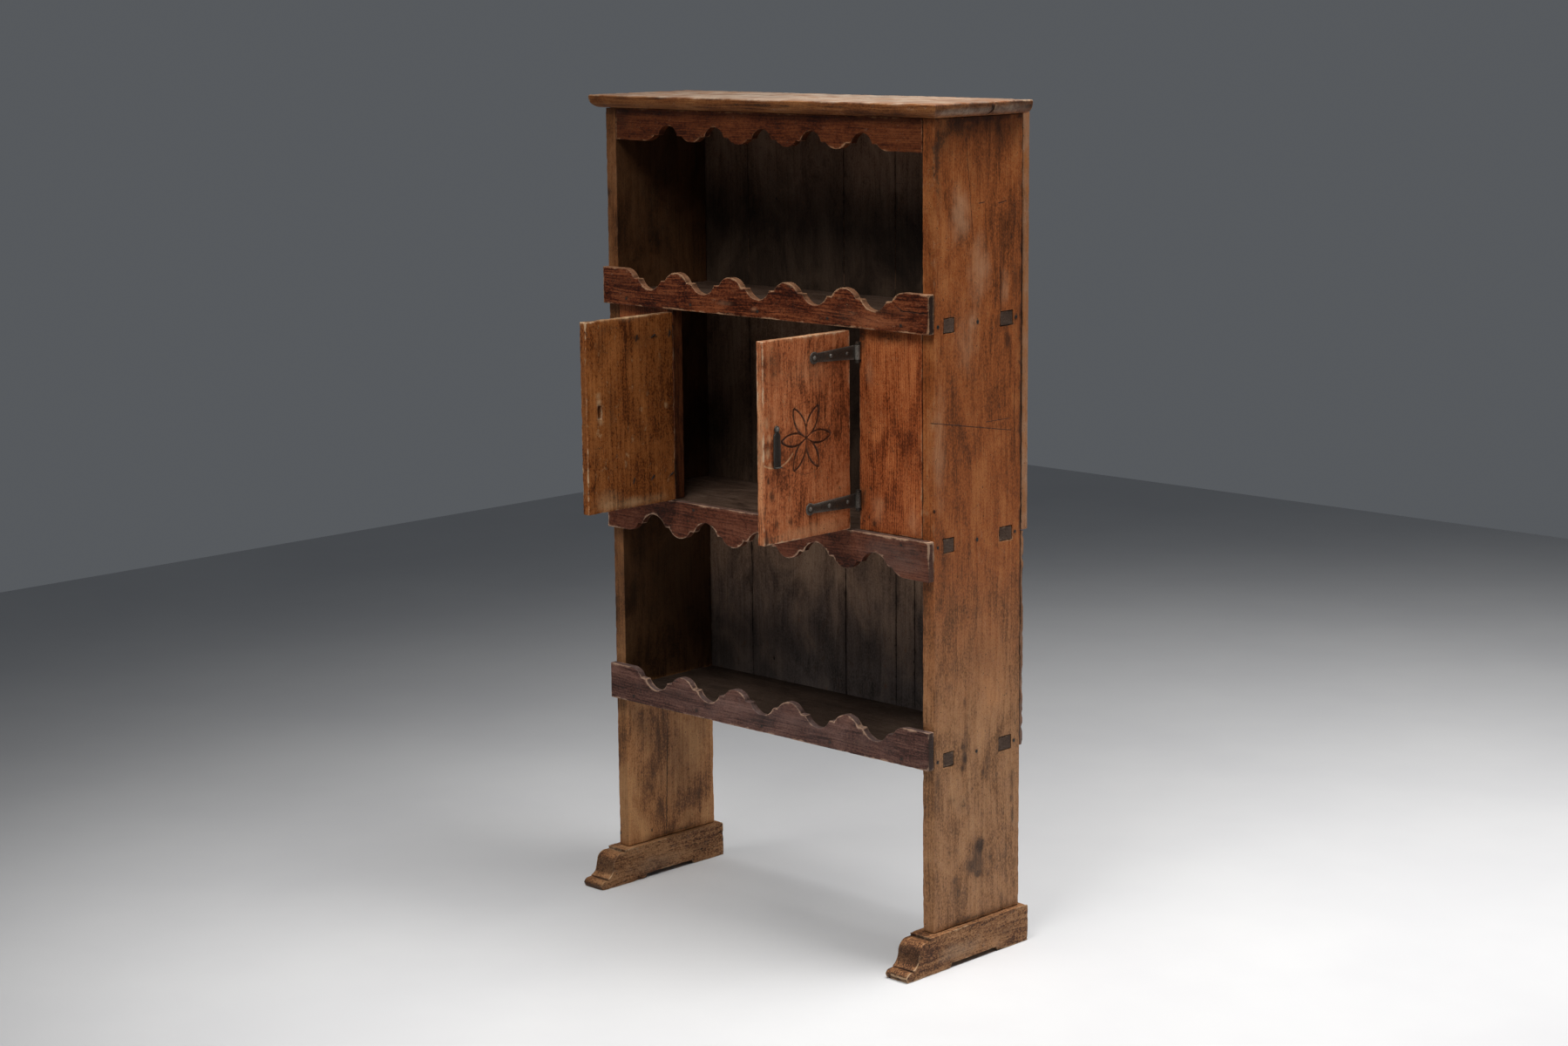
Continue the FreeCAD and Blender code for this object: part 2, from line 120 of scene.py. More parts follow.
class Stock:
    """One piece of wood or iron while it is worked."""

    def __init__(self):
        self.bm = bmesh.new()
        self.rims = []
        self.near = []
        self.colours = []

    def everything(self):
        return self.bm.verts[:] + self.bm.edges[:] + self.bm.faces[:]

    def block(self, low, high):
        low, high = Vector(low), Vector(high)
        made = bmesh.ops.create_cube(self.bm, size=1.0)["verts"]
        bmesh.ops.scale(self.bm, vec=high - low, verts=made)
        bmesh.ops.translate(self.bm, vec=(high + low) / 2, verts=made)
        return made

    def rod(self, radius, foot, head, segments=28):
        """A round bar between two points."""
        foot, head = Vector(foot), Vector(head)
        run = head - foot
        place = Matrix.Translation((foot + head) / 2) @ run.to_track_quat("Z", "Y").to_matrix().to_4x4()
        return bmesh.ops.create_cone(self.bm, cap_ends=True, segments=segments, radius1=radius,
                                     radius2=radius, depth=run.length, matrix=place)["verts"]

    def cut(self, axis, places):
        for place in places:
            bmesh.ops.bisect_plane(self.bm, geom=self.everything(), dist=weld,
                                   plane_co=ways[axis] * place, plane_no=ways[axis])

    def cells(self, *steps):
        """Even cuts along each axis that has a step."""
        for axis, step in enumerate(steps):
            if step:
                low = min(v.co[axis] for v in self.bm.verts)
                high = max(v.co[axis] for v in self.bm.verts)
                count = max(1, round((high - low) / step))
                self.cut(axis, [low + (high - low) * n / count for n in range(1, count)])

    def hole(self, axis, low, high):
        """A square hole through a board: the two end faces go and their rims are bridged."""
        others = [a for a in range(3) if a != axis]
        for a in others:
            self.cut(a, (low[a], high[a]))
        gone = [f for f in self.bm.faces if abs(f.normal[axis]) > 0.9
                and all(low[a] < f.calc_center_median()[a] < high[a] for a in others)]
        rims = list({e for f in gone for e in f.edges})
        bmesh.ops.delete(self.bm, geom=gone, context="FACES_ONLY")
        bmesh.ops.bridge_loops(self.bm, edges=rims)

    def refine(self, faces, cuts):
        bmesh.ops.subdivide_edges(self.bm, edges=list({e for f in faces for e in f.edges}), cuts=cuts,
                                  use_grid_fill=True)

    def shift(self, *way):
        bmesh.ops.translate(self.bm, vec=way, verts=self.bm.verts)

    def corners(self, chosen=None):
        self.bm.normal_update()
        sharp = [e for e in self.bm.edges if e.is_manifold and e.calc_face_angle() > corner_angle]
        return [e for e in sharp if chosen is None or chosen((e.verts[0].co + e.verts[1].co) / 2)]

    def round_over(self, width, segments=3, chosen=None):
        """Bevels sharp edges and remembers where they ran."""
        edges = self.corners(chosen)
        for e in edges:
            first, last = e.verts[0].co.copy(), e.verts[1].co.copy()
            count = max(1, math.ceil((last - first).length / rim_step))
            self.rims += [first.lerp(last, n / count) for n in range(count + 1)]
        bmesh.ops.bevel(self.bm, geom=edges, offset=width, offset_type="OFFSET", segments=segments,
                        profile=0.5, affect="EDGES", material=-1, clamp_overlap=True)

    def weather(self, sway, chip, seed, reach=6.0, rough_from=None):
        """Moves the surface inward: a slow sway, tool ripple, and bites along the edges.
        With rough_from the full bites lie to the right of that place only."""
        tree = kdtree.KDTree(len(self.rims))
        for number, point in enumerate(self.rims):
            tree.insert(point, number)
        tree.balance()
        self.bm.normal_update()
        shift = Vector((seed * 131.7, seed * 57.3, seed * 211.9))
        moves = []
        self.near = []
        for v in self.bm.verts:
            spot = v.co + shift
            near = tree.find(v.co)[2]
            slow = noise.noise(spot / sway_length)
            ripple = noise.noise(spot / ripple_length)
            bite = (max(0.0, noise.noise(spot / small_bite) - 0.05)
                    + max(0.0, noise.noise(spot / large_bite) - 0.15))
            if rough_from is not None and v.co.x < rough_from:
                bite *= 0.1
            depth = sway * (0.55 + 0.4 * slow + 0.3 * ripple) + chip * bite * math.exp(-near / reach)
            moves.append(v.normal * -max(0.0, depth))
            self.near.append(near)
        for v, move in zip(self.bm.verts, moves):
            v.co += move

    def paint(self, marks=(), wear=1.0, grime_and_shade_at=None, seed=0.0):
        """Stores stain, haze and painted highlight, edge wear, and grime and painted shade at each point. A mark is
        channel, middle, reach, strength.
        """
        shift = Vector((seed * 71.3, seed * 113.1, seed * 29.7))
        self.colours = []
        for v, near in zip(self.bm.verts, self.near):
            spot = v.co + shift
            ragged = 0.55 * noise.noise(spot / ragged_length) + 0.35 * noise.noise(spot / fine_ragged_length)
            values = [0.0, 0.0, 0.0, 0.0]
            for channel, middle, reach, strength in marks:
                if all(abs(v.co[a] - middle[a]) < 1.6 * reach[a] for a in range(3)):
                    away = Vector([(v.co[a] - middle[a]) / reach[a] for a in range(3)]).length
                    values[channel] += strength * smooth_step((1.25 - away + 0.6 * ragged) / 1.2)
            rubbed = math.exp(-near / rub_reach) * (0.8 + noise.noise(spot / rub_length) + 0.6 * ragged)
            values[WEAR] += wear * rubbed
            if grime_and_shade_at:
                values[GRIME_AND_SHADE] += grime_and_shade_at(v.co, v.normal)
            self.colours += [min(max(value, 0.0), 1.0) for value in values]

    def add_paint(self, number, channel, amount):
        """More of one channel at a numbered point, up to its full strength."""
        place = 4 * number + channel
        self.colours[place] = min(1.0, self.colours[place] + amount)

    def finish(self, name, body, slot, material, nodes=(), place=None):
        """Brings the piece to metres in its own place and hangs it on its body."""
        bmesh.ops.recalc_face_normals(self.bm, faces=self.bm.faces)
        for face in self.bm.faces:
            face.smooth = True
        place = Matrix.Scale(mm, 4) @ (place or Matrix())
        bmesh.ops.transform(self.bm, matrix=place, verts=self.bm.verts)
        mesh = bpy.data.meshes.new(name)
        self.bm.to_mesh(mesh)
        self.bm.free()
        if self.colours:
            layer = mesh.attributes.new("paint", "FLOAT_COLOR", "POINT")
            layer.data.foreach_set("color", self.colours)
        mesh.materials.append(material)
        piece = place_object(name, mesh)
        piece.modifiers.new("true flats", "WEIGHTED_NORMAL")
        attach(piece, body)
        if nodes:
            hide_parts(*nodes)
        return piece


class Template(Stock):
    """A piece sawn to an outline, drawn by its last vertex in the front or the side plane."""

    def __init__(self, plane, u, v):
        super().__init__()
        self.front = plane == "front"
        self.start = self.here = (u, v)
        self.tip = bmesh.ops.create_vert(self.bm, co=self.space(u, v))["vert"][0]

    def space(self, u, v):
        return Vector((u, 0, v)) if self.front else Vector((0, u, v))

    def line(self, u, v):
        if math.dist(self.here, (u, v)) > 0.001:
            self.tip = bmesh.ops.extrude_vert_indiv(self.bm, verts=[self.tip])["verts"][0]
            bmesh.ops.translate(self.bm, vec=self.space(u, v) - self.tip.co, verts=[self.tip])
            self.here = (u, v)

    def arc(self, middle, end, step=6.0):
        """A round stretch through three points, spun from the last vertex."""
        (ax, ay), (bx, by), (cx, cy) = self.here, middle, end
        d = 2 * (ax * (by - cy) + bx * (cy - ay) + cx * (ay - by))
        a2, b2, c2 = ax * ax + ay * ay, bx * bx + by * by, cx * cx + cy * cy
        u = (a2 * (by - cy) + b2 * (cy - ay) + c2 * (ay - by)) / d
        v = (a2 * (cx - bx) + b2 * (ax - cx) + c2 * (bx - ax)) / d
        turns = [math.atan2(y - v, x - u) for x, y in (self.here, middle, end)]
        full = 2 * math.pi
        to_middle, to_end = (turns[1] - turns[0]) % full, (turns[2] - turns[0]) % full
        sweep = to_end if to_middle < to_end else to_end - full
        steps = max(2, round(abs(math.degrees(sweep)) / step))
        axis = -ways[1] if self.front else ways[0]
        made = bmesh.ops.spin(self.bm, geom=[self.tip], cent=self.space(u, v), axis=axis,
                              angle=sweep, steps=steps)["geom_last"]
        self.tip = [g for g in made if isinstance(g, bmesh.types.BMVert)][0]
        self.here = end

    def saw(self, push):
        """Closes the outline and gives it its thickness."""
        self.line(*self.start)
        bmesh.ops.remove_doubles(self.bm, verts=self.bm.verts, dist=weld)
        bmesh.ops.contextual_create(self.bm, geom=self.bm.edges[:])
        made = bmesh.ops.extrude_face_region(self.bm, geom=self.bm.faces[:], use_keep_orig=True)["geom"]
        bmesh.ops.translate(self.bm, vec=push, verts=[g for g in made if isinstance(g, bmesh.types.BMVert)])
        bmesh.ops.recalc_face_normals(self.bm, faces=self.bm.faces)


class Finish:
    """A material whose nodes are laid one after another."""

    def __init__(self, name):
        self.material = bpy.data.materials.new(name)
        self.material.use_nodes = True
        self.tree = self.material.node_tree
        self.surface = self.tree.nodes["Principled BSDF"]

    def node(self, kind, inputs, output=0, **settings):
        made = self.tree.nodes.new("ShaderNode" + kind)
        for key, value in settings.items():
            setattr(made, key, value)
        for key, value in inputs.items():
            self.feed(made.inputs[key], value)
        return made.outputs[output]

    def feed(self, socket, value):
        if isinstance(value, bpy.types.NodeSocket):
            self.tree.links.new(value, socket)
        else:
            socket.default_value = value

    def math(self, operation, *values, clamp=False):
        return self.node("Math", dict(enumerate(values)), operation=operation, use_clamp=clamp)

    def times(self, first, second, clamp=False):
        return self.math("MULTIPLY", first, second, clamp=clamp)

    def total(self, base, *shares):
        """A base value plus each value's weighted distance from its middle."""
        for value, weight, middle in shares:
            base = self.math("MULTIPLY_ADD", self.math("SUBTRACT", value, middle), weight, base)
        return base

    def vector(self, operation, *values, output=0):
        return self.node("VectorMath", dict(enumerate(values)), output=output, operation=operation)

    def scaled(self, vector, *scale):
        return self.vector("MULTIPLY", vector, scale)

    def millimetres(self):
        return self.scaled(self.node("TexCoord", {}, output="Object"), 1000, 1000, 1000)

    def cloud(self, vector, detail=3.0, roughness=0.55, distortion=0.0):
        return self.node("TexNoise", {"Vector": vector, "Scale": 1.0, "Detail": detail,
                                      "Roughness": roughness, "Distortion": distortion})

    def dots(self, vector):
        return self.node("TexVoronoi", {"Vector": vector, "Scale": 1.0, "Randomness": 1.0})

    def span(self, value, low, high, to_low=0.0, to_high=1.0):
        return self.node("MapRange", {0: value, 1: low, 2: high, 3: to_low, 4: to_high},
                         interpolation_type="SMOOTHSTEP")

    def both(self, first, second, clamp=False):
        """The product of two spans."""
        return self.times(self.span(*first), self.span(*second), clamp)

    def mix(self, share, first, second):
        return self.node("Mix", {0: share, 6: first, 7: second}, output=2, data_type="RGBA", blend_type="MIX")

    def ramp(self, value, tones):
        """Tones spaced evenly along a value from 0 to 1."""
        made = self.tree.nodes.new("ShaderNodeValToRGB")
        stops = made.color_ramp.elements
        while len(stops) < len(tones):
            stops.new(0.5)
        for number, colour in enumerate(tones):
            stops[number].position = number / (len(tones) - 1)
            stops[number].color = colour
        self.feed(made.inputs[0], value)
        return made.outputs[0]

    def parts(self, vector):
        made = self.tree.nodes.new("ShaderNodeSeparateXYZ")
        self.feed(made.inputs[0], vector)
        return made.outputs

    def bump(self, height, strength, distance):
        return self.node("Bump", {"Height": height, "Strength": strength, "Distance": distance})

    def dress(self, inputs):
        """Feeds the surface and gives out the finished material."""
        for key, value in inputs.items():
            self.feed(self.surface.inputs[key], value)
        return self.material

    def paint(self):
        """The stain, haze and painted highlight, wear, and grime and painted shade of the piece."""
        colour = self.node("Attribute", {}, attribute_name="paint", attribute_type="GEOMETRY")
        made = self.tree.nodes.new("ShaderNodeSeparateColor")
        self.feed(made.inputs[0], colour)
        return [made.outputs[0], made.outputs[1], made.outputs[2], colour.node.outputs["Alpha"]]


def tone(red, green, blue, level=1.0):
    return (red * level, green * level, blue * level, 1.0)


def scaled_tone(colour, level):
    return tone(*colour[:3], level)


def five_tones(dark, middle, light, lift):
    """A wood's three tones with a deeper one before them and a lifted one after."""
    return (scaled_tone(dark, 0.5), dark, middle, light, scaled_tone(light, lift))


stain_brown = tone(0.020, 0.010, 0.006)
hole_black = tone(0.008, 0.004, 0.002)
grime_and_shade_black = tone(0.013, 0.0085, 0.0058)


def aged_wood(name, grain, across, dark, middle, light, worn, haze_and_highlight_tone, low_tones=None, ring_pitch=6.0, rings=0.5,
              streaks=1.0, lines=1.0, blotches=1.0, pits=1.0, end_dark=0.6, roughness=0.5, seed=1.0,
              cracks=(), crack_side=(0.0, 1.0), low_from=(1100.0, 600.0)):
    """Old softwood: growth rings, fibre, streaks, blotches, worm holes, dents and what is painted on the piece."""
    f = Finish(name)
    dark, middle, light, worn, haze_and_highlight_tone = (tone(*shade) for shade in (dark, middle, light, worn, haze_and_highlight_tone))
    names = "xyz"
    depth = [a for a in names if a not in (grain, across)][0]
    place = f.parts(f.millimetres())
    order = [place[names.index(a)] for a in (across, depth, grain)]
    wood = f.node("CombineXYZ", dict(enumerate(order)))
    shift = f.vector("ADD", wood, (37.0 * seed, 71.0 * seed, 233.0 * seed))
    drift = f.node("TexNoise", {"Vector": f.scaled(shift, 0.012, 0.012, 0.0022), "Scale": 1.0, "Detail": 2.0},
                   output="Color")
    bent = f.vector("MULTIPLY_ADD", f.vector("SUBTRACT", drift, (0.5, 0.5, 0.5)), (40.0, 40.0, 0.0), shift)

    # Growth rings round a heart that lies outside the board
    heart = f.vector("ADD", bent, (-37.0 * seed + 60.0, -71.0 * seed + 95.0, 0.0))
    ring = f.node("TexWave", {"Vector": f.scaled(heart, 0.01, 0.01, 0.0004), "Scale": 31.4 / ring_pitch,
                              "Distortion": 2.4, "Detail": 3.0, "Detail Scale": 1.4, "Detail Roughness": 0.6},
                  output="Fac", wave_type="RINGS", rings_direction="Z", wave_profile="SAW")
    ring = f.math("POWER", ring, 2.0)
    fibre = f.cloud(f.scaled(bent, 0.9, 0.9, 0.02), 4.0, 0.65)
    line = f.cloud(f.scaled(bent, 0.33, 0.33, 0.011), 4.0, 0.65)
    streak = f.cloud(f.scaled(bent, 0.085, 0.085, 0.005), 5.0, 0.65)
    blotch = f.cloud(f.scaled(shift, 0.011, 0.011, 0.006), 6.0, 0.62, 0.8)
    mottle = f.cloud(f.scaled(shift, 0.07, 0.07, 0.048), 6.0, 0.72)
    speck = f.cloud(f.scaled(shift, 0.30, 0.30, 0.20), 3.0, 0.65)

    figure = f.total(0.5, (blotch, 1.3 * blotches, 0.5), (streak, 0.5 * streaks, 0.5), (line, 0.75 * lines, 0.5),
                     (mottle, 0.5 * pits, 0.5), (speck, 1.1 * pits, 0.5), (ring, -0.3 * rings, 0.33),
                     (fibre, 0.3, 0.5))
    colour = f.ramp(figure, five_tones(dark, middle, light, 1.25))
    if low_tones:
        level = f.math("MULTIPLY_ADD", blotch, 420.0, order[2])
        paler = f.ramp(figure, five_tones(*(tone(*shade) for shade in low_tones), 1.2))
        colour = f.mix(f.span(level, *low_from), colour, paler)

    # Crisp dark flecks, short dark dashes along the grain and pale rubbed flecks
    fleck = f.both((mottle, 0.585, 0.615), (blotch, 0.60, 0.44))
    dash = f.both((line, 0.635, 0.675), (streak, 0.56, 0.46))
    colour = f.mix(f.times(f.math("MAXIMUM", fleck, dash), 0.42 * pits), colour, scaled_tone(dark, 0.35))
    pale = f.both((mottle, 0.395, 0.36), (blotch, 0.42, 0.60))
    colour = f.mix(f.times(pale, 0.30 * pits), colour, haze_and_highlight_tone)

    # End grain drinks the wax and goes dark
    facing = f.parts(f.node("TexCoord", {}, output="Normal"))
    end = f.span(f.math("ABSOLUTE", facing[names.index(grain)]), 0.65, 0.9)
    colour = f.mix(f.times(end, end_dark), colour, stain_brown)

    # Stain; haze with painted highlight; edge wear; grime with painted shade
    stained, haze_and_highlight_share, rubbed, grime_and_shade_share = f.paint()
    veil = f.total(0.5, (streak, 0.8, 0.5), (line, 0.4, 0.5), (mottle, 0.5, 0.5))
    veil = f.times(haze_and_highlight_share, f.span(veil, 0.30, 0.66, 0.40, 1.0))
    colour = f.mix(veil, colour, haze_and_highlight_tone)
    bare = f.math("ADD", rubbed, f.math("MULTIPLY_ADD", mottle, 2.2, -1.25))
    bare = f.both((bare, 0.15, 0.65), (rubbed, 0.03, 0.3), clamp=True)
    colour = f.mix(f.times(bare, 0.9), colour, worn)
    ragged = f.total(f.math("MINIMUM", stained, 0.7), (mottle, 1.5, 0.5), (speck, 1.6, 0.5), (line, 0.5, 0.5))
    soak = f.both((ragged, 0.46, 0.76), (stained, 0.03, 0.35))
    soak = f.math("MULTIPLY_ADD", stained, 0.42, f.times(soak, 0.45), clamp=True)
    colour = f.mix(soak, colour, stain_brown)
    pit = f.both((speck, 0.625, 0.65), (blotch, 0.42, 0.58), clamp=True)
    colour = f.mix(f.times(pit, 0.8), colour, stain_brown)
    crumb = f.both((speck, 0.335, 0.305), (mottle, 0.50, 0.62), clamp=True)
    colour = f.mix(f.times(crumb, 0.6), colour, worn)

    # Worm holes in loose groups, larger dents, and nicks across the grain
    worm = f.both((f.dots(f.scaled(shift, 0.05, 0.05, 0.045)), 0.085, 0.05), (mottle, 0.5, 0.6), clamp=True)
    dent = f.both((f.dots(f.scaled(shift, 0.017, 0.017, 0.011)), 0.060, 0.030), (blotch, 0.44, 0.52), clamp=True)
    nick = f.both((f.dots(f.scaled(shift, 0.009, 0.009, 0.11)), 0.10, 0.06), (blotch, 0.52, 0.58), clamp=True)
    hole = f.math("MAXIMUM", worm, f.math("MAXIMUM", dent, f.times(nick, 0.35)))
    if cracks:
        face = f.node("CombineXYZ", {0: f.total(order[0], (mottle, 8.0, 0.5)), 1: order[2], 2: 0.0})
        for start, finish, width in cracks:
            run = Vector((finish[0] - start[0], finish[1] - start[1], 0.0))
            away = f.vector("SUBTRACT", face, (*start, 0.0))
            along = f.vector("DOT_PRODUCT", away, run.normalized(), output="Value")
            along = f.math("MINIMUM", f.math("MAXIMUM", along, 0.0), run.length)
            nearest = f.node("VectorMath", {0: run.normalized(), "Scale": along}, operation="SCALE")
            gap = f.vector("LENGTH", f.vector("SUBTRACT", away, nearest), output="Value")
            split = f.both((gap, width, width * 0.4), (order[1], *crack_side))
            hole = f.math("MAXIMUM", hole, f.times(split, f.span(mottle, 0.3, 0.5, 0.45, 0.95)))
    colour = f.mix(f.times(hole, 0.85), colour, hole_black)
    # Grime and painted shade take the colour towards black
    painted_darkening = f.times(grime_and_shade_share, f.span(blotch, 0.25, 0.7, 1.0, 0.9), clamp=True)
    colour = f.mix(f.times(painted_darkening, 0.98), colour, grime_and_shade_black)

    dull = f.span(mottle, 0.3, 0.7, roughness - 0.1, roughness + 0.14)
    dull = f.math("MULTIPLY_ADD", bare, 0.15, dull)
    height = f.total(0.0, (fibre, 0.5, 0.5), (line, 0.7, 0.5), (ring, -0.35, 0.3), (mottle, 1.0, 0.5),
                     (hole, -2.0, 0.0))
    return f.dress({"Base Color": colour, "Roughness": dull, "Specular IOR Level": 0.2,
                    "Normal": f.bump(height, 0.5, 0.001)})


def forged_iron(name, level=1.0, seed=1.0):
    """Hammered black iron with brown rust in the hollows and bare edges."""
    f = Finish(name)
    shift = f.vector("ADD", f.millimetres(), (91.0 * seed, 13.0 * seed, 57.0 * seed))
    hammer = f.cloud(f.scaled(shift, 0.16, 0.16, 0.16), 2.0, 0.5)
    scale = f.cloud(f.scaled(shift, 0.5, 0.5, 0.5), 5.0, 0.65)
    rust = f.cloud(f.scaled(shift, 0.09, 0.09, 0.09), 5.0, 0.7)
    _, _, rubbed, _ = f.paint()
    colour = f.mix(f.span(scale, 0.36, 0.62), tone(0.016, 0.012, 0.009, level), tone(0.055, 0.043, 0.032, level))
    colour = f.mix(f.span(rust, 0.5, 0.68, 0.0, 0.7), colour, tone(0.075, 0.034, 0.015, level))
    bare = f.times(rubbed, f.span(scale, 0.32, 0.55), clamp=True)
    colour = f.mix(f.times(bare, 0.85), colour, tone(0.24, 0.215, 0.185, level))
    dull = f.span(scale, 0.3, 0.7, 0.42, 0.7)
    height = f.math("MULTIPLY_ADD", scale, 0.35, hammer)
    return f.dress({"Base Color": colour, "Metallic": 0.4, "Roughness": dull, "Normal": f.bump(height, 0.6, 0.0012)})


def plain_floor():
    """A pale, even studio floor."""
    f = Finish("studio_floor")
    cloud = f.cloud(f.scaled(f.node("TexCoord", {}, output="Object"), 1.3, 1.3, 1.3), 4.0, 0.6)
    pale = f.mix(f.span(cloud, 0.3, 0.7), tone(0.585, 0.585, 0.595), tone(0.62, 0.62, 0.625))
    return f.dress({"Base Color": pale, "Roughness": 0.6})


side_shades = dict(
    grain="z", across="y", dark=(0.135, 0.038, 0.0095), middle=(0.285, 0.076, 0.0175),
    light=(0.38, 0.132, 0.039), worn=(0.42, 0.22, 0.11), haze_and_highlight_tone=(0.44, 0.225, 0.118),
    ring_pitch=9.0, rings=0.45, streaks=0.8, lines=0.9, pits=0.95, roughness=0.46)
right_side_finish = aged_wood(
    "waxed_right_side", **side_shades, seed=1.0, crack_side=(435.0, 446.0),
    low_tones=((0.155, 0.069, 0.026), (0.325, 0.153, 0.065), (0.415, 0.22, 0.103)),
    cracks=[((-7, 1079), (225, 1040), 1.3), ((150, 1064), (222, 1064), 1.0), ((89, 1620), (113, 1408), 1.0),
            ((128, 1484), (144, 1485), 1.4), ((187, 1481), (208, 1484), 1.4), ((191, 1360), (194, 1270), 1.8),
            ((196, 1400), (192, 1362), 1.0), ((236, 1130), (234, 960), 1.0)])
left_side_finish = aged_wood(
    "waxed_left_side", **{**side_shades, "dark": (0.13, 0.047, 0.014), "middle": (0.27, 0.097, 0.029),
                          "light": (0.36, 0.15, 0.055), "worn": (0.38, 0.165, 0.068),
                          "haze_and_highlight_tone": (0.30, 0.17, 0.085)}, blotches=1.5, seed=1.7, crack_side=(-432.0, -424.0),
    low_tones=((0.17, 0.066, 0.021), (0.40, 0.172, 0.062), (0.50, 0.25, 0.10)),
    cracks=[((121, 404), (118, 286), 1.1), ((118, 286), (111, 80), 2.0)])
shelf_finish = aged_wood(
    "dull_shelf_plank", "x", "y", (0.07, 0.037, 0.023), (0.14, 0.080, 0.052), (0.21, 0.135, 0.097),
    (0.34, 0.23, 0.15), (0.32, 0.24, 0.18), ring_pitch=7.0, end_dark=0.35, roughness=0.6, seed=2.0)
top_finish = aged_wood(
    "weathered_top_plank", "x", "y", (0.090, 0.027, 0.0072), (0.203, 0.067, 0.0182), (0.295, 0.120, 0.040),
    (0.42, 0.28, 0.17), (0.52, 0.43, 0.335), ring_pitch=8.0, lines=1.4, streaks=1.2, pits=0.7, end_dark=0.35,
    roughness=0.55, seed=3.0)
rail_finish = aged_wood(
    "dark_red_rail", "x", "z", (0.030, 0.0064, 0.0028), (0.107, 0.023, 0.0075), (0.218, 0.063, 0.023),
    (0.42, 0.235, 0.13), (0.42, 0.215, 0.12), streaks=1.5, lines=1.8, pits=1.1, end_dark=0.9, roughness=0.4, seed=4.0,
    crack_side=(-10.0, -15.0), cracks=[((1288, 380), (1286, 447), 1.7), ((1296, 366), (1288, 384), 1.2)])
low_rail_finish = aged_wood(
    "dull_brown_rail", "x", "z", (0.028, 0.0112, 0.0082), (0.083, 0.034, 0.0245), (0.150, 0.072, 0.053),
    (0.38, 0.24, 0.165), (0.15, 0.105, 0.095), streaks=1.4, lines=1.5, pits=1.1, end_dark=0.7,
    roughness=0.44, seed=4.4)
apron_finish = aged_wood(
    "dark_middle_apron", "x", "z", (0.035, 0.011, 0.006), (0.10, 0.028, 0.013), (0.16, 0.056, 0.030),
    (0.42, 0.26, 0.17), (0.13, 0.085, 0.07), lines=1.2, end_dark=0.5, roughness=0.44, seed=4.8)
# The top apron's tones are darkened as painted shade under the top's overhang
top_apron_finish = aged_wood(
    "red_top_apron", "x", "z", (0.038, 0.0078, 0.0024), (0.097, 0.022, 0.0056), (0.155, 0.043, 0.0122),
    (0.36, 0.18, 0.09), (0.25, 0.13, 0.08), ring_pitch=5.0, lines=1.3, roughness=0.45, seed=5.0)
panel_finish = aged_wood(
    "streaked_front_panel", "z", "x", (0.115, 0.026, 0.0075), (0.295, 0.071, 0.019), (0.42, 0.135, 0.044),
    (0.46, 0.25, 0.13), (0.46, 0.22, 0.11), ring_pitch=5.0, rings=0.9, streaks=1.0, lines=1.0, blotches=1.3,
    roughness=0.44, seed=6.0)
door_finish = aged_wood(
    "rubbed_red_door", "z", "y", (0.145, 0.039, 0.013), (0.38, 0.106, 0.035), (0.51, 0.19, 0.077),
    (0.56, 0.37, 0.23), (0.54, 0.30, 0.155), blotches=1.2, lines=1.3, pits=1.05, roughness=0.46, seed=7.0)
left_door_finish = aged_wood(
    "yellow_brown_door_back", "z", "y", (0.070, 0.018, 0.004), (0.19, 0.055, 0.0115),
    (0.265, 0.092, 0.024), (0.50, 0.33, 0.19), (0.43, 0.27, 0.14), ring_pitch=7.0, streaks=1.3,
    pits=1.3, roughness=0.48, seed=8.0)
back_finish = aged_wood(
    "dark_back_plank", "z", "x", (0.20, 0.112, 0.066), (0.32, 0.187, 0.115), (0.41, 0.26, 0.168),
    (0.36, 0.25, 0.17), (0.31, 0.105, 0.024), ring_pitch=8.0, streaks=0.8, lines=0.8, blotches=1.4,
    roughness=0.62, seed=9.0, low_from=(1010.0, 620.0),
    low_tones=((0.098, 0.077, 0.068), (0.145, 0.116, 0.104), (0.19, 0.152, 0.134)))
foot_finish = aged_wood(
    "weathered_foot", "y", "z", (0.085, 0.032, 0.012), (0.225, 0.099, 0.039), (0.34, 0.175, 0.080),
    (0.46, 0.30, 0.175), (0.34, 0.23, 0.15), ring_pitch=5.0, lines=1.5, pits=1.7, blotches=1.2,
    roughness=0.6, seed=10.0)
iron_finish = forged_iron("hammered_black_iron")
latch_iron_finish = forged_iron("blackened_latch_iron", 0.5, 3.0)
sunk_iron_finish = forged_iron("sunk_nail_iron", 0.3, 2.0)


def in_the_bays(sign):
    """Painted shade on the side faces that look into the bays; the front edges are darkened too, the left one more.
    """
    def painted_darkening(point, normal):
        if normal.y < -0.5:
            return 0.12 if sign > 0 else 0.42
        if normal.x * sign > -0.5:
            return 0.0
        level = 0.83 if point.z > upper_bay_floor else 0.92 if point.z > cupboard_floor else 0.86
        return level * smooth_step((point.z - lower_bay_floor) / 12)
    return painted_darkening


def side_board(side, sign, material, marks):
    low, high = node_box(f"side_{side}")
    low.z = node_box(f"foot_{side}")[1].z
    board = Stock()
    board.block(low, high)
    board.round_over(2.0)
    for shelf in shelves:
        bottom, top = node_box(shelf)
        for front, back in tenon_spans:
            board.hole(0, (0, front - mortise_slack, bottom.z - mortise_slack),
                       (0, back + mortise_slack, top.z + mortise_slack))
    board.round_over(0.6, 2)
    board.cells(None, 5.5, 6.0)
    board.weather(0.5, 2.4, 1.0 + sign)
    nail_holes = [(STAIN, (sign * outer_side, y, z), (12, 6, 7), 1.0)
                  for z in shelf_middles for y in side_nail_places]
    board.paint(marks + nail_holes, 0.6, in_the_bays(sign), seed=2.0 + sign)
    board.finish(f"{side}_side_plank", "case", "aged_pine", material, [f"side_{side}"])
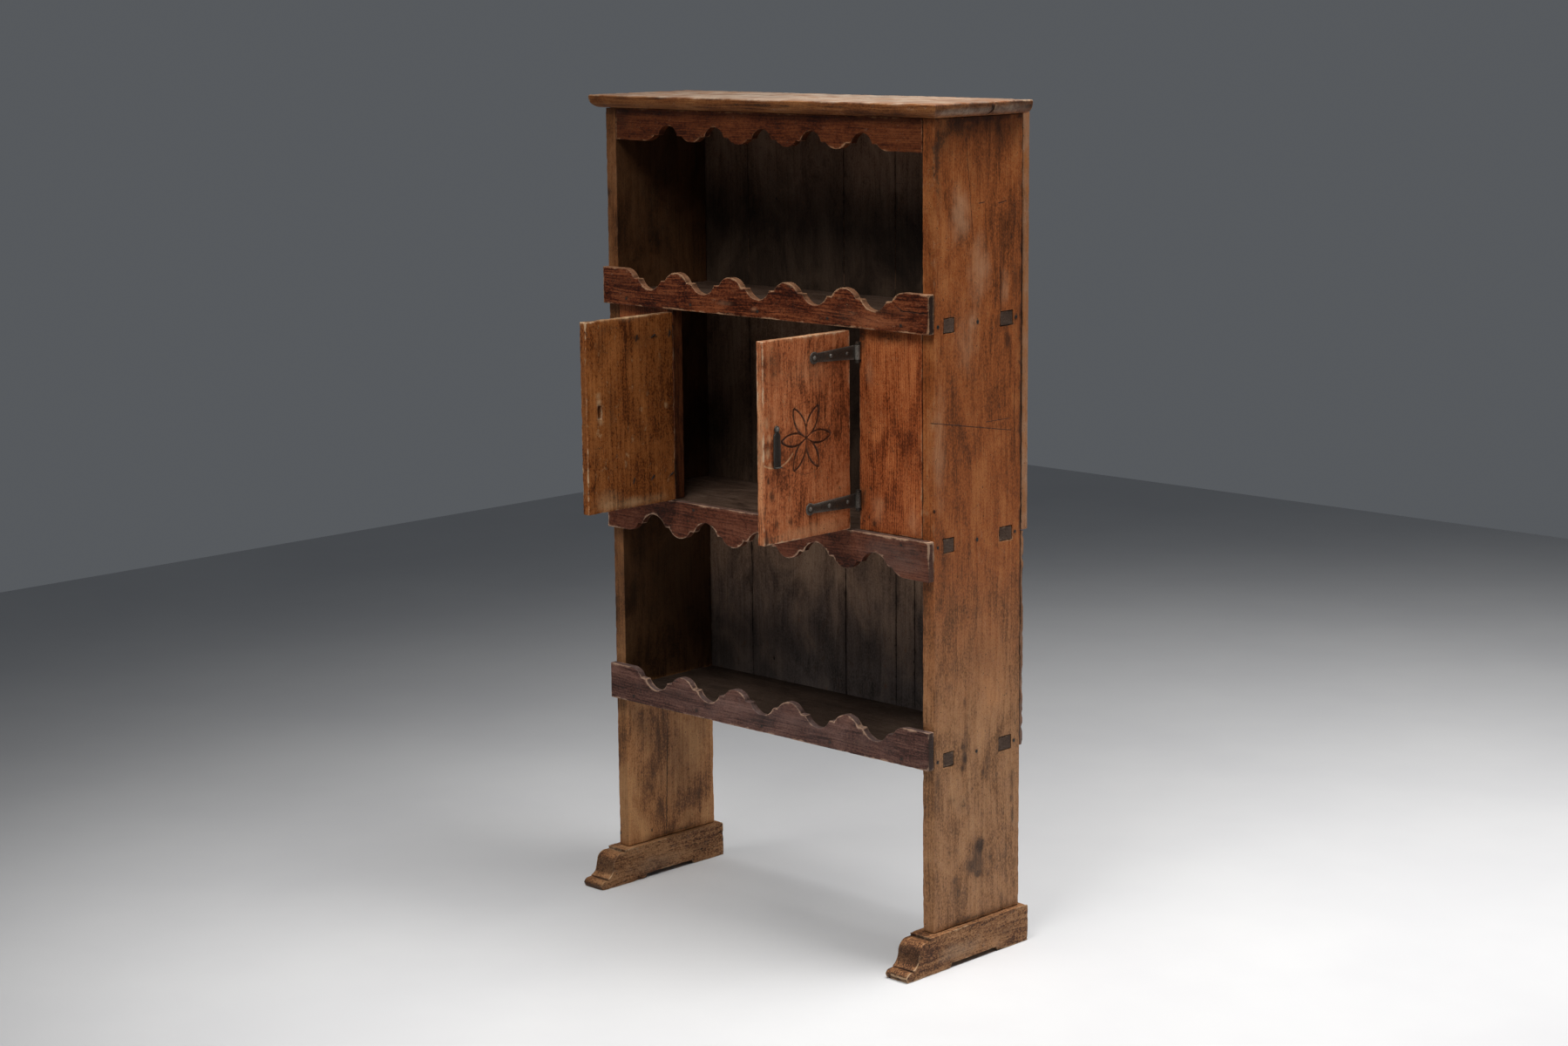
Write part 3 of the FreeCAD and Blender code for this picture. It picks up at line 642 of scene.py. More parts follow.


# On the right side the hazes on the outer face are painted reflections of the light, and the dark band along the top
# edge is partly stain, partly painted shadow under the top's overhang
right_side_marks = (
    on_face(0, outer_side, side_skin, stains=(
        (24, 1596, 34, 56, 0.55), (10, 1540, 14, 60, 0.4), (120, 1646, 150, 12, 0.75),
        (200, 1600, 50, 40, 0.35), (120, 1560, 60, 50, 0.2), (225, 1415, 7, 9, 0.95), (232, 1325, 8, 50, 0.5),
        (211, 1254, 30, 24, 0.9), (113, 1259, 5, 6, 1.0), (132, 200, 30, 54, 0.75), (128, 172, 12, 16, 0.9),
        (138, 225, 12, 16, 0.8), (92, 420, 14, 36, 0.6), (83, 319, 22, 22, 0.5), (60, 150, 14, 22, 0.5),
        (150, 610, 70, 60, 0.25), (235, 330, 8, 40, 0.7), (240, 470, 10, 30, 0.55), (73, 996, 7, 16, 0.5),
        (246, 1250, 14, 400, 0.35), (6, 1350, 14, 300, 0.3), (70, 1625, 80, 30, 0.35), (20, 1490, 24, 30, 0.3),
        (215, 1215, 10, 22, 0.8), (195, 1330, 6, 60, 0.5), (66, 230, 9, 9, 0.6), (60, 172, 10, 10, 0.6),
        (168, 190, 9, 14, 0.6), (105, 185, 20, 18, 0.65), (236, 250, 8, 30, 0.6), (145, 370, 5, 10, 0.9),
        (12, 380, 10, 30, 0.5), (60, 330, 12, 12, 0.5), (130, 82, 140, 10, 0.7), (120, 700, 30, 14, 0.4),
        (40, 820, 40, 30, 0.3), (45, 560, 10, 12, 0.7), (100, 470, 10, 40, 0.45), (6, 300, 9, 160, 0.35),
        (130, 1640, 190, 50, 0.4), (90, 521, 5, 16, 0.8), (93, 494, 6, 14, 0.5), (83, 437, 7, 10, 0.6),
        (90, 411, 8, 14, 0.7), (84, 391, 10, 9, 0.7), (158, 392, 5, 22, 0.5), (231, 300, 5, 14, 0.8),
        (235, 268, 5, 16, 0.9), (248, 241, 5, 8, 0.9), (46, 333, 9, 12, 0.5), (22, 353, 9, 6, 0.6),
        (202, 100, 5, 18, 0.8), (243, 168, 12, 24, 0.5), (163, 163, 7, 14, 0.7), (44, 229, 6, 6, 0.7)), hazes_and_highlights=(
        (72, 1466, 34, 60, 0.85), (130, 1360, 36, 70, 0.7), (95, 1230, 40, 70, 0.4), (16, 1030, 20, 130, 0.55),
        (206, 1318, 13, 42, 0.6), (113, 1259, 13, 18, 0.7)))
    + on_face(0, 434, 14, stains=((0, 1450, 6, 200, 0.35), (0, 640, 6, 220, 0.4), (0, 240, 6, 170, 0.45)))
    + [(STAIN, (outer_side, back_face, 1050), (8, 7, 800), 1.0)])
left_side_marks = (
    on_face(0, -inner_side, side_skin, stains=(
        (40, 330, 45, 60, 0.4), (60, 200, 40, 50, 0.4), (150, 250, 30, 90, 0.35), (130, 82, 140, 10, 0.7),
        (90, 130, 18, 30, 0.45), (180, 100, 20, 20, 0.4)))
    + on_face(0, -outer_side, side_skin, stains=(
        (120, 1200, 90, 160, 0.4), (200, 330, 40, 60, 0.6), (60, 1560, 60, 60, 0.5)), hazes_and_highlights=(
        (100, 700, 70, 130, 0.5),))
    + on_face(0, -436, 14, stains=((0, 1450, 6, 220, 0.85), (0, 640, 6, 240, 0.55), (0, 240, 6, 170, 0.5)))
    + on_face(0, -416, 12, hazes_and_highlights=((150, 1490, 150, 230, 0.45), (150, 640, 150, 190, 0.6)))
    + [(STAIN, (-436, 0, 860), (18, 7, 800), 0.6)])
side_board("right", 1, right_side_finish, right_side_marks)
side_board("left", -1, left_side_finish, left_side_marks)


def shelf_board(shelf):
    low, high = node_box(shelf)
    end = node_box("side_right")[0].x
    board = Stock()
    board.block((-end, low.y, low.z), (end, high.y, high.z))
    for front, back in tenon_spans:
        board.cut(1, (front, back))
    ends = [f for f in board.bm.faces if abs(f.normal.x) > 0.9
            and any(front < f.calc_center_median().y < back for front, back in tenon_spans)]
    for face in bmesh.ops.extrude_discrete_faces(board.bm, faces=ends)["faces"]:
        bmesh.ops.translate(board.bm, vec=face.normal * tenon_reach, verts=face.verts)
    board.round_over(0.9, 2)
    board.cells(12.0, 8.0, 6.0)
    board.weather(0.35, 1.4, len(shelf))
    # Painted shade on the shelf where it lies in the bays, deepest on the lower shelf; the tenon ends beyond the
    # sides are darker end grain
    painted_darkening = 0.9 if shelf == "shelf_lower" else 0.55
    board.paint([], 0.5, lambda point, normal: painted_darkening if abs(point.x) < end - 1 else 0.4, seed=len(shelf))
    board.finish(shelf + "_plank", "case", "aged_pine", shelf_finish, [shelf])


for shelf in shelves:
    shelf_board(shelf)


# The crooked crack in the right end of the front plank, by places along y and z
end_crack = ((144.0, 1678.0), (138.0, 1666.0), (142.0, 1661.0), (130.0, 1646.0))
end_crack_from, end_crack_run = 452, 18
end_crack_half, end_crack_fade, end_crack_depth = 1.9, 1.5, 3.0


def crack_at(point):
    """How far the crack has opened at a point."""
    if point.x < end_crack_from:
        return 0.0
    away = math.inf
    for (y0, z0), (y1, z1) in zip(end_crack, end_crack[1:]):
        run = Vector((y1 - y0, z1 - z0))
        rel = Vector((point.y - y0, point.z - z0))
        share = min(max(rel.dot(run) / run.length_squared, 0.0), 1.0)
        away = min(away, (rel - share * run).length)
    opened = smooth_step((end_crack_half - away) / end_crack_fade)
    return opened * smooth_step((point.x - end_crack_from) / end_crack_run)


def top_plank(name, seam_side, marks, seed):
    low, high = node_box(name)
    cracked = seam_side > 0
    board = Stock()
    board.block(low, high)

    def shown(point):
        return seam_side * (point.y - (high.y if seam_side > 0 else low.y)) < -1 and point.y < back_face - 1

    board.round_over(20.0, 9, lambda p: p.z < low.z + 1 and shown(p))
    board.round_over(4.0, 4, lambda p: p.z > high.z - 1 and shown(p))
    board.round_over(1.2, 2)
    board.cells(9.0, 7.0, 5.0)
    if cracked:
        # Finer cells where the crack opens
        board.cut(1, [124 + 1.1 * step for step in range(20)])
        board.cut(2, [low.z + 2 * step for step in range(1, 13)])
    board.weather(0.6, 3.6, seed, 7.0)
    board.paint(marks, 0.85, seed=seed)
    if cracked:
        for number, v in enumerate(board.bm.verts):
            gape = crack_at(v.co)
            v.co.x -= end_crack_depth * gape
            v.co.z -= end_crack_depth / 2 * gape if v.normal.z > 0.7 else 0.0
            board.add_paint(number, STAIN, 1.5 * gape)
    board.finish(name + "_board", "case", "aged_pine", top_finish, [name])


top_plank("top_front_plank", 1, (
    on_face(1, top_front, top_skin, stains=(
        (60, 1664, 120, 3.5, 0.7), (227, 1665, 60, 3, 0.7), (27, 1663, 24, 3, 0.8), (88, 1663, 20, 3.5, 0.9),
        (158, 1667, 26, 3, 0.8), (-60, 1663, 60, 3, 0.5), (-380, 1668, 60, 4, 0.5)))
    + on_face(0, top_end, top_skin, stains=(
        (60, 1672, 90, 7, 0.65), (140, 1664, 7, 14, 0.9)), hazes_and_highlights=(
        (60, 1658, 100, 9, 0.5),))
    + on_face(2, 1675, 10, stains=((-250, 40, 120, 40, 0.3), (250, 80, 60, 30, 0.45)))
    + [(HAZE_AND_HIGHLIGHT, (0, 70, 1679), (900, 400, 7), 1.3)]), 11.0)
top_plank("top_rear_plank", -1, (
    on_face(0, top_end, top_skin, stains=((200, 1671, 60, 5, 0.6),), hazes_and_highlights=((190, 1660, 60, 12, 0.45),))
    + [(HAZE_AND_HIGHLIGHT, (0, 200, 1679), (900, 400, 7), 1.3), (STAIN, (180, 220, 1675), (80, 24, 10), 0.5)]), 12.0)


def level_arc_middle(level, far):
    """The middle of an arc that runs level at one end and ends at far."""
    run, drop = far[0] - level[0], far[1] - level[1]
    radius = (run ** 2 + drop ** 2) / (2 * drop)
    half_turn = math.atan2(abs(run), abs(radius) - abs(drop)) / 2
    across = math.copysign(abs(radius) * math.sin(half_turn), run)
    return (level[0] + across, level[1] + radius * (1 - math.cos(half_turn)))


def scalloped_board(name, plain_low, count, pitch, hollow_half, crest_half, step_drop, hollow_drop,
                    material, marks, seed, wear):
    """A rail or apron with crests, small steps and round hollows along one edge."""
    low, high = node_box(name)
    plain, shaped, inward = (low.z, high.z, -1) if plain_low else (high.z, low.z, 1)
    step = shaped + inward * step_drop
    board = Template("front", low.x, plain)
    board.line(low.x, shaped)
    for number in range(count):
        middle = (number - (count - 1) / 2) * pitch
        crests = (middle - pitch / 2, middle + pitch / 2)
        falls = ((crests[0] + crest_half, step), (crests[1] - crest_half, step))
        board.line(crests[0], shaped)
        board.arc(level_arc_middle((crests[0], shaped), falls[0]), falls[0])
        board.line(middle - hollow_half, step)
        board.arc((middle, shaped + inward * hollow_drop), (middle + hollow_half, step))
        board.line(*falls[1])
        board.arc(level_arc_middle((crests[1], shaped), falls[1]), (crests[1], shaped))
    board.line(high.x, shaped)
    board.line(high.x, plain)
    board.saw((0, high.y - low.y, 0))
    board.shift(0, low.y, 0)
    board.round_over(1.3, 2)
    board.cells(6.0, 5.5, 6.0)
    board.weather(0.35, 1.6, seed, 4.0)
    board.paint(marks, wear, lambda p, n: 0.7 if n.y > 0.7 else 0.0, seed=seed)
    # Painted highlight: what faces up is laid paler, as if lit from above
    for number, v in enumerate(board.bm.verts):
        board.add_paint(number, HAZE_AND_HIGHLIGHT, 0.85 * smooth_step((v.normal.z - 0.3) / 0.5))
    board.finish(name + "_board", "case", "dark_pine", material, [name])


# Count, pitch, half hollow, half crest, drop to the step and drop to the hollow
rail_cut = (5, 155.0, 32.5, 32.0, 19.0, 39.5)
middle_apron_cut = (5, 155.0, 34.0, 31.5, 18.0, 41.0)
top_apron_cut = (5, 133.0, 27.0, 27.0, 12.0, 32.5)


def nail_stains(z):
    return [(STAIN, (x, rail_face, z), (9, front_skin, 8), 0.8) for x in rail_nail_places]


scalloped_board("upper_gallery_rail", True, *rail_cut, rail_finish, nail_stains(shelf_middles[0]) + (
    on_face(1, rail_face, front_skin, stains=(
        (238, 1236, 20, 8, 0.8), (345, 1284, 52, 6, 0.9), (330, 1290, 14, 12, 0.7), (-400, 1290, 60, 40, 0.45),
        (-60, 1290, 30, 10, 0.5), (120, 1300, 16, 8, 0.5)), hazes_and_highlights=(
        (-95, 1271, 30, 4, 0.7), (-9, 1262, 9, 4, 0.8), (300, 1264, 130, 24, 0.12)))
    + [(STAIN, (outer_side, -8, 1290), (7, 20, 60), 0.8)]), 13.0, 1.0)
scalloped_board("lower_gallery_rail", True, *rail_cut, low_rail_finish, nail_stains(shelf_middles[2]) + (
    on_face(1, rail_face, front_skin, stains=(
        (-300, 440, 100, 20, 0.4), (280, 425, 60, 12, 0.4)), hazes_and_highlights=(
        (0, 440, 420, 40, 0.35),))
    + [(STAIN, (outer_side, -8, 440), (7, 20, 60), 0.7)]), 14.0, 1.0)
scalloped_board("middle_apron", False, *middle_apron_cut, apron_finish, nail_stains(shelf_middles[1]) + [
    (HAZE_AND_HIGHLIGHT, (370, rail_face, 815), (110, front_skin, 50), 0.6), (STAIN, (outer_side, -8, 815), (7, 20, 60), 0.4),
    (HAZE_AND_HIGHLIGHT, (0, -8, 852), (470, front_skin, 4), 0.7)], 15.0, 1.1)
scalloped_board("top_apron", False, *top_apron_cut, top_apron_finish,
    # The long dark lines just under the top are painted shadow of its overhang
    on_face(1, 0, front_skin, stains=(
        (-400, 1620, 40, 40, 0.6), (-330, 1640, 120, 8, 0.5), (160, 1643, 300, 5, 0.5))), 16.0, 0.8)


def foot(side):
    """A trestle foot: ogee toe, shallow relief under the sole and softened edges."""
    low, high = node_box(f"foot_{side}")
    toe, rear, top = low.y, high.y, high.z
    block = Template("side", rear, 0)
    relief_front, relief_rear, cove = 30, 183, 9.0
    slack = cove * (math.sqrt(2) - 1) / math.sqrt(2) / math.sqrt(2)
    block.line(relief_rear, 0)
    block.arc((relief_rear - cove / 2 - slack, cove / 2 - slack), (relief_rear - cove, cove))
    block.line(relief_front + cove, cove)
    block.arc((relief_front + cove / 2 + slack, cove / 2 - slack), (relief_front, 0))
    toe_round, toe_top, ogee_foot = (toe, 9), 18.5, (toe + 21, 20.5)
    block.line(toe + 4, 0)
    block.line(*toe_round)
    block.arc(level_arc_middle((toe + 13, toe_top), toe_round), (toe + 13, toe_top))
    block.line(ogee_foot[0], toe_top)
    block.line(*ogee_foot)
    shoulder, shoulder_y, ogee_belly = top - 5.5, -23, 3.5
    ogee_end, ogee_middle = (-34.0, shoulder), (toe + 37, (toe_top + top - 5.5) / 2)
    run_u, run_v = ogee_middle[0] - ogee_foot[0], ogee_middle[1] - ogee_foot[1]
    chord = math.hypot(run_u, run_v)
    block.arc((ogee_foot[0] + run_u / 2 + run_v / chord * ogee_belly,
               ogee_foot[1] + run_v / 2 - run_u / chord * ogee_belly), ogee_middle)
    block.arc(level_arc_middle(ogee_end, ogee_middle), ogee_end)
    block.line(shoulder_y, shoulder)
    block.line(shoulder_y, top)
    block.line(rear - 5, top)
    block.arc(level_arc_middle((rear - 5, top), (rear, top - 5)), (rear, top - 5))
    block.saw((high.x - low.x, 0, 0))
    block.shift(low.x, 0, 0)
    middle = (low.x + high.x) / 2
    block.round_over(2.2, 3, lambda p: not (toe + 15 < p.y < toe + 25 and 17 < p.z < 22))
    block.cells(5.0, 5.0, 5.0)
    block.weather(0.9, 3.6, 17.0 if side == "right" else 18.0, 8.0)
    marks = (
        on_face(0, middle, 40, stains=(
            (100, 0, 200, 8, 0.7), (-72, 19, 5, 4, 0.9), (-23, 71, 5, 5, 0.8), (-90, 8, 20, 10, 0.4),
            (128, 75, 140, 4, 0.5)))
        + on_face(0, high.x, 20, stains=((200, 35, 40, 14, 0.5),), hazes_and_highlights=((60, 30, 80, 20, 0.5),))
        + [(STAIN, (low.x, 150, 40), (20, 60, 16), 0.5)])
    block.paint(marks, 0.9, seed=len(side))
    block.finish(f"{side}_trestle_foot", "case", "foot_pine", foot_finish, [f"foot_{side}"])


for side in ("right", "left"):
    foot(side)


def plain_board(node, name, slot, material, cells, seed, marks=(), grime_and_shade_at=None, edge=1.5, chip=1.6, wear=0.8,
                rough_from=None):
    board = Stock()
    board.block(*node_box(node))
    board.round_over(edge, 2)
    board.cells(*cells)
    board.weather(0.4, chip, seed, 11.0 if rough_from else 6.0, rough_from)
    board.paint(marks, wear, grime_and_shade_at, seed)
    return board.finish(name, "case", slot, material, [node])


def painted_shade_inside(point, normal):
    """Painted shade on the back planks' front faces in most of the upper bay and in the cupboard; a low left corner
    of the lower bay is darkened too.
    """
    if normal.y > -0.5:
        return 0.0
    if point.z < cupboard_floor - 10:
        return 0.5 * smooth_step((620 - point.z) / 150) * smooth_step((-120 - point.x) / 160)
    if point.z > upper_bay_floor:
        low = smooth_step((1560 - point.z) / 170)
        return 0.97 * low + 0.4 * (1 - low) * smooth_step((30 - point.x) / 60)
    return max(0.89 * smooth_step((point.x + 120) / 80), 0.3 + 0.57 * smooth_step((1090 - point.z) / 150))


# Painted shade on the panels' back faces and on their ends at the door openings
def painted_shade_behind(point, normal):
    return 0.8 if normal.y > 0.5 else 0.75 if abs(normal.x) > 0.7 else 0.0


plain_board("panel_right", "right_front_panel", "door_pine", panel_finish, (5.0, 6.0, 6.0), 19.0,
    on_face(1, 0, front_skin, stains=(
        (266, 1222, 16, 36, 0.75), (266, 905, 14, 40, 0.75), (330, 1236, 90, 20, 0.7),
        (285, 1060, 24, 170, 0.25), (342, 972, 4, 9, 1.0), (405, 1022, 10, 5, 0.85), (290, 936, 5, 6, 0.8),
        (328, 918, 7, 9, 0.7), (296, 868, 8, 10, 0.8), (350, 1090, 5, 60, 0.5), (378, 990, 4, 70, 0.45),
        (320, 1050, 4, 80, 0.4)), hazes_and_highlights=(
        (285, 1165, 12, 40, 0.45), (308, 900, 22, 30, 0.55), (398, 880, 18, 30, 0.5))), painted_shade_behind)
plain_board("panel_left", "left_front_panel", "door_pine", panel_finish, (5.0, 6.0, 6.0), 20.0,
    on_face(1, 0, front_skin, stains=(
        (-266, 1222, 16, 36, 0.75), (-266, 905, 14, 40, 0.75), (-330, 1240, 90, 12, 0.6)), hazes_and_highlights=(
        (-350, 960, 30, 60, 0.4),)), painted_shade_behind)
back_marks = (
    on_face(1, back_face, front_skin, stains=((-310, 640, 14, 20, 0.8), (60, 560, 60, 60, 0.3)))
    + on_face(0, outer_side, 8, stains=((256, 1000, 5, 800, 1.0), (268, 620, 20, 240, 0.45)))
    + [(STAIN, (-240, 277, 1300), (60, 12, 140), 0.5), (HAZE_AND_HIGHLIGHT, (454, 268, 1250), (12, 60, 1400), 1.0)])
smooth_edge, ragged_edge = (1.0, 0.15), (6.0, 0.15, 380.0)
for number, plank in enumerate(("left", "wide", "centre", "right", "infill", "patch")):
    node = f"back_plank_{plank}"
    seams = [(STAIN, (end.x, back_face, 1000), (2.6, front_skin, 900), 0.9) for end in node_box(node)
             if abs(end.x) < outer_side - 1]
    plain_board(node, f"{plank}_back_plank", "aged_pine", back_finish, (10.0, 5.0, 9.0), 21.0 + number,
                seams + back_marks, painted_shade_inside, 1.2, *(ragged_edge if plank == "patch" else smooth_edge))


def swing(sign, angle):
    """From a door's shut place to where it stands open."""
    axis = Vector((sign * hinge_x, hinge_y, 0))
    return Matrix.Translation(axis) @ Matrix.Rotation(math.radians(sign * angle), 4, "Z") @ Matrix.Translation(-axis)


right_swing = swing(1, right_door_open)
left_swing = swing(-1, left_door_open)
doors = (("right", 1, right_swing), ("left", -1, left_swing))


def strap_nail_spots(sign, y=-2.5, out=-1):
    spots = []
    for _, z, length in strap_levels:
        bulb = length - strap_bulb
        for reach in (strap_nail_reach, (strap_nail_reach + bulb) / 2, bulb):
            spots.append((Vector((sign * (door_high.x - reach), y, z)), Vector((0, out, 0))))
    return spots


rosette = Vector((120.5, 0.0, 1048.0))
rosette_radius = 69.0
petal_radius = 55.0
groove_half = 2.4
groove_depth = 2.0
ring_half, ring_from, ring_share = 0.9, 40, 0.22
scratch_radius, scratch_half = 73.5, 2.0
scratch_from, scratch_to = -122, -48
scratch_drift, drift_from = 0.16, -80
carved_low, carved_high = Vector((0.0, 0, 974.0)), Vector((196.0, 0, 1123.0))


def groove_at(point):
    """How deep the six-petal rosette and its two circle arcs are cut at a point of the door's face."""
    u, v = point.x - rosette.x, point.z - rosette.z
    turn = math.atan2(v, u)
    away = math.hypot(u, v)
    if away > rosette_radius + 3:
        return 0.0
    sixth = math.pi / 3
    turn -= sixth * round(turn / sixth)
    along, aside = away * math.cos(turn), abs(away * math.sin(turn))
    half = rosette_radius / 2
    drop = math.sqrt(petal_radius ** 2 - half ** 2)
    off = abs(math.hypot(along - half, aside + drop) - petal_radius)
    uneven = 1 + 0.35 * noise.noise(point / 17)
    cut = max(0.0, 1 - (off / (groove_half * uneven)) ** 2) if along < rosette_radius + 0.5 else 0.0
    on_ring = abs(u) < half and abs(v) > ring_from
    ring = max(0.0, 1 - (abs(away - rosette_radius) / ring_half) ** 2) if on_ring else 0.0
    return groove_depth * max(cut * uneven, ring_share * ring)


def rub_at(point):
    """The pale arc that the latch bar's lip has scratched."""
    u, v = point.x - latch_eye.x, point.z - latch_eye.z
    away = math.hypot(u, v)
    turn = math.degrees(math.atan2(v, u))
    if not scratch_from < turn < scratch_to:
        return 0.0
    off = abs(away - scratch_radius + scratch_drift * max(0, turn - drift_from))
    return max(0.0, 1 - (off / scratch_half) ** 2)


def right_door():
    door = Stock()
    door.block(door_low, door_high)
    door.round_over(1.8, 3)
    door.cells(10.0, 6.0, 10.0)
    carved = [f for f in door.bm.faces if f.normal.y < -0.9
              and carved_low.x < f.calc_center_median().x < carved_high.x
              and carved_low.z < f.calc_center_median().z < carved_high.z]
    door.refine(carved, 8)
    door.refine([f for f in door.bm.faces if abs(f.normal.y) > 0.9 and f.calc_area() > 30], 1)
    door.weather(0.3, 1.8, 30.0)
    marks = (
        on_face(1, 0, front_skin, stains=(
            (205, 1195, 40, 24, 0.5), (190, 908, 50, 20, 0.4), (30, 1196, 36, 46, 0.65),
            (14, 978, 6, 13, 0.95), (24, 945, 9, 15, 0.85), (36, 895, 10, 17, 0.95), (74, 893, 7, 9, 0.85),
            (8, 872, 6, 22, 0.95), (213, 938, 5, 6, 0.85), (20, 1095, 18, 30, 0.45), (150, 980, 22, 16, 0.35),
            (170, 1120, 14, 30, 0.3), (37, 1040, 13, 42, 0.35)), hazes_and_highlights=(
            (12, 1085, 7, 14, 0.85), (18, 1060, 8, 10, 0.7), (14, 1030, 8, 14, 0.75), (20, 1008, 8, 9, 0.6),
            (130, 1180, 80, 40, 0.2), (125, 868, 120, 16, 0.5)))
        + on_face(1, 8, 14, hazes_and_highlights=((125, 1242, 130, 6, 1.0), (2, 1050, 5, 200, 0.6))))
    door.paint(marks, 1.1, lambda p, n: 0.35 if n.y > 0.5 else 0.0, 30.0)
    for number, v in enumerate(door.bm.verts):
        if v.normal.y < -0.7:
            cut, rub = groove_at(v.co), rub_at(v.co)
            v.co.y += cut + 0.35 * rub
            door.add_paint(number, STAIN, 1.1 * min(1.0, cut / 0.8))
            door.add_paint(number, HAZE_AND_HIGHLIGHT, 1.2 * rub)
    door.finish("right_carved_door", "right_door", "door_pine", door_finish, ["door_right"], right_swing)


def left_door():
    door = Stock()
    low, high = Vector((-door_high.x, 0, door_low.z)), Vector((-door_low.x, door_high.y, door_high.z))
    door.block(low, high)
    door.round_over(1.8, 3)
    door.hole(1, slot_low, slot_high)
    door.round_over(0.8, 2)
    door.cells(5.0, 6.0, 5.0)
    door.weather(0.35, 2.0, 31.0)
    marks = (
        on_face(1, door_back, board_skin, stains=(
            (-37, 1060, 9, 20, 0.8), (-68, 1060, 13, 80, 0.5), (-40, 1185, 18, 40, 0.55),
            (-26, 960, 12, 70, 0.45), (-88, 1004, 5, 9, 0.95), (-152, 1000, 9, 26, 0.5),
            (-160, 1090, 5, 7, 0.8), (-112, 938, 5, 7, 0.8), (-70, 960, 5, 6, 0.7), (-150, 1190, 60, 26, 0.4),
            (-210, 1120, 10, 60, 0.4), (-60, 1225, 60, 14, 0.5)), hazes_and_highlights=(
            (-36, 1080, 7, 7, 0.95), (-40, 1040, 8, 6, 0.8), (-33, 1094, 8, 5, 0.7), (-222, 1055, 4, 6, 1.0),
            (-106, 950, 4, 5, 0.9), (-120, 866, 125, 12, 0.6), (-60, 880, 50, 20, 0.4)))
        + on_face(1, 8, 14, stains=((-2, 1050, 4, 200, 0.4),), hazes_and_highlights=((-125, 1242, 130, 6, 1.0),))
        + [(STAIN, spot, (11, board_skin, 5), 0.7) for spot, _ in strap_nail_spots(-1, door_high.y, 1)])
    door.paint(marks, 0.85, None, 31.0)
    door.finish("left_slotted_door", "left_door", "door_pine", left_door_finish, ["door_left"], left_swing)


right_door()
left_door()


def strap(side, level, z, length, place):
    """A tapered strap with a bulb end and a rolled eye, hammered all over."""
    half, neck, bulb, eye = 14.25, 9.0, strap_bulb, 5.5
    thickness, face, root = 2.5, -2.6, hinge_x - 1.5
    bulb_x = door_high.x - length + bulb
    neck_x = bulb_x + math.sqrt(bulb ** 2 - neck ** 2)
    plate = Template("front", root, z + half)
    plate.line(neck_x, z + neck)
    plate.arc((bulb_x - bulb, z), (neck_x, z - neck), 9.0)
    plate.line(root, z - half)
    plate.saw((0, thickness, 0))
    plate.shift(0, face, 0)
    plate.round_over(0.9, 2)
    plate.cells(4.0, None, 4.0)
    plate.rod(eye, (hinge_x, hinge_y, z - half), (hinge_x, hinge_y, z + half))
    plate.round_over(0.7, 2, lambda p: p.x > hinge_x - 6 and abs(abs(p.z - z) - half) < 0.3)
    plate.weather(0.3, 1.0, 40.0 + z / 100, 3.0)
    plate.paint([], 1.1, None, z)
    if side == "left":
        bmesh.ops.scale(plate.bm, vec=(-1, 1, 1), verts=plate.bm.verts)
        bmesh.ops.reverse_faces(plate.bm, faces=plate.bm.faces)
    plate.finish(f"{side}_{level}_strap_hinge", f"{side}_door", "forged_iron", iron_finish,
                 [f"strap_{side}_{level}"], place)


def forged_heads(heads, half, height, seed):
    """Nail heads with six beaten faces, each a little different. A head is a spot and a way out."""
    draw = random.Random(seed)
    stock = Stock()
    for spot, out in heads:
        turn = out.to_track_quat("Z", "Y").to_matrix().to_4x4()
        spin = Matrix.Rotation(math.radians(draw.uniform(-16, 16)), 4, "Z")
        tilt = Matrix.Rotation(math.radians(draw.uniform(-5, 5)), 4, "X")
        size = draw.uniform(0.86, 1.08)
        place = Matrix.Translation(spot + out * (height / 2 - 0.15)) @ turn @ spin @ tilt
        bmesh.ops.create_cone(stock.bm, cap_ends=True, segments=6, radius1=half * 1.2 * size,
                              radius2=half * 0.5 * size, depth=height, matrix=place)
    stock.round_over(0.4, 2)
    stock.weather(0.1, 0.3, seed)
    stock.paint([], 0.8, None, seed)
    return stock


def clenched_points(sign, seed):
    """The strap nails' points, bent over flat on the door's inner face."""
    draw = random.Random(seed)
    stock = Stock()
    for spot, _ in strap_nail_spots(sign, door_high.y, 1):
        made = stock.block((-7.0, -0.6, -1.7), (7.0, 0.9, 1.7))
        bmesh.ops.scale(stock.bm, vec=(1, 1, 0.35), verts=[v for v in made if v.co.x > 0])
        turn = Matrix.Rotation(math.radians(draw.uniform(15, 75)), 4, "Y")
        bmesh.ops.transform(stock.bm, matrix=Matrix.Translation(spot) @ turn, verts=made)
    stock.round_over(0.4, 2)
    stock.weather(0.05, 0.2, seed)
    stock.paint([], 0.5, None, seed)
    return stock


for level, z, length in strap_levels:
    for side, _, place in doors:
        strap(side, level, z, length, place)
for number, (side, sign, place) in enumerate(doors):
    forged_heads(strap_nail_spots(sign), 4.2, 2.4, 51 + number).finish(
        f"{side}_strap_nail_heads", f"{side}_door", "forged_iron", iron_finish, [f"strap_nails_{side}"], place)
for number, (side, sign, place) in enumerate(doors):
    clenched_points(sign, 61 + number).finish(
        f"{side}_door_clenched_points", f"{side}_door", "forged_iron", sunk_iron_finish, place=place)


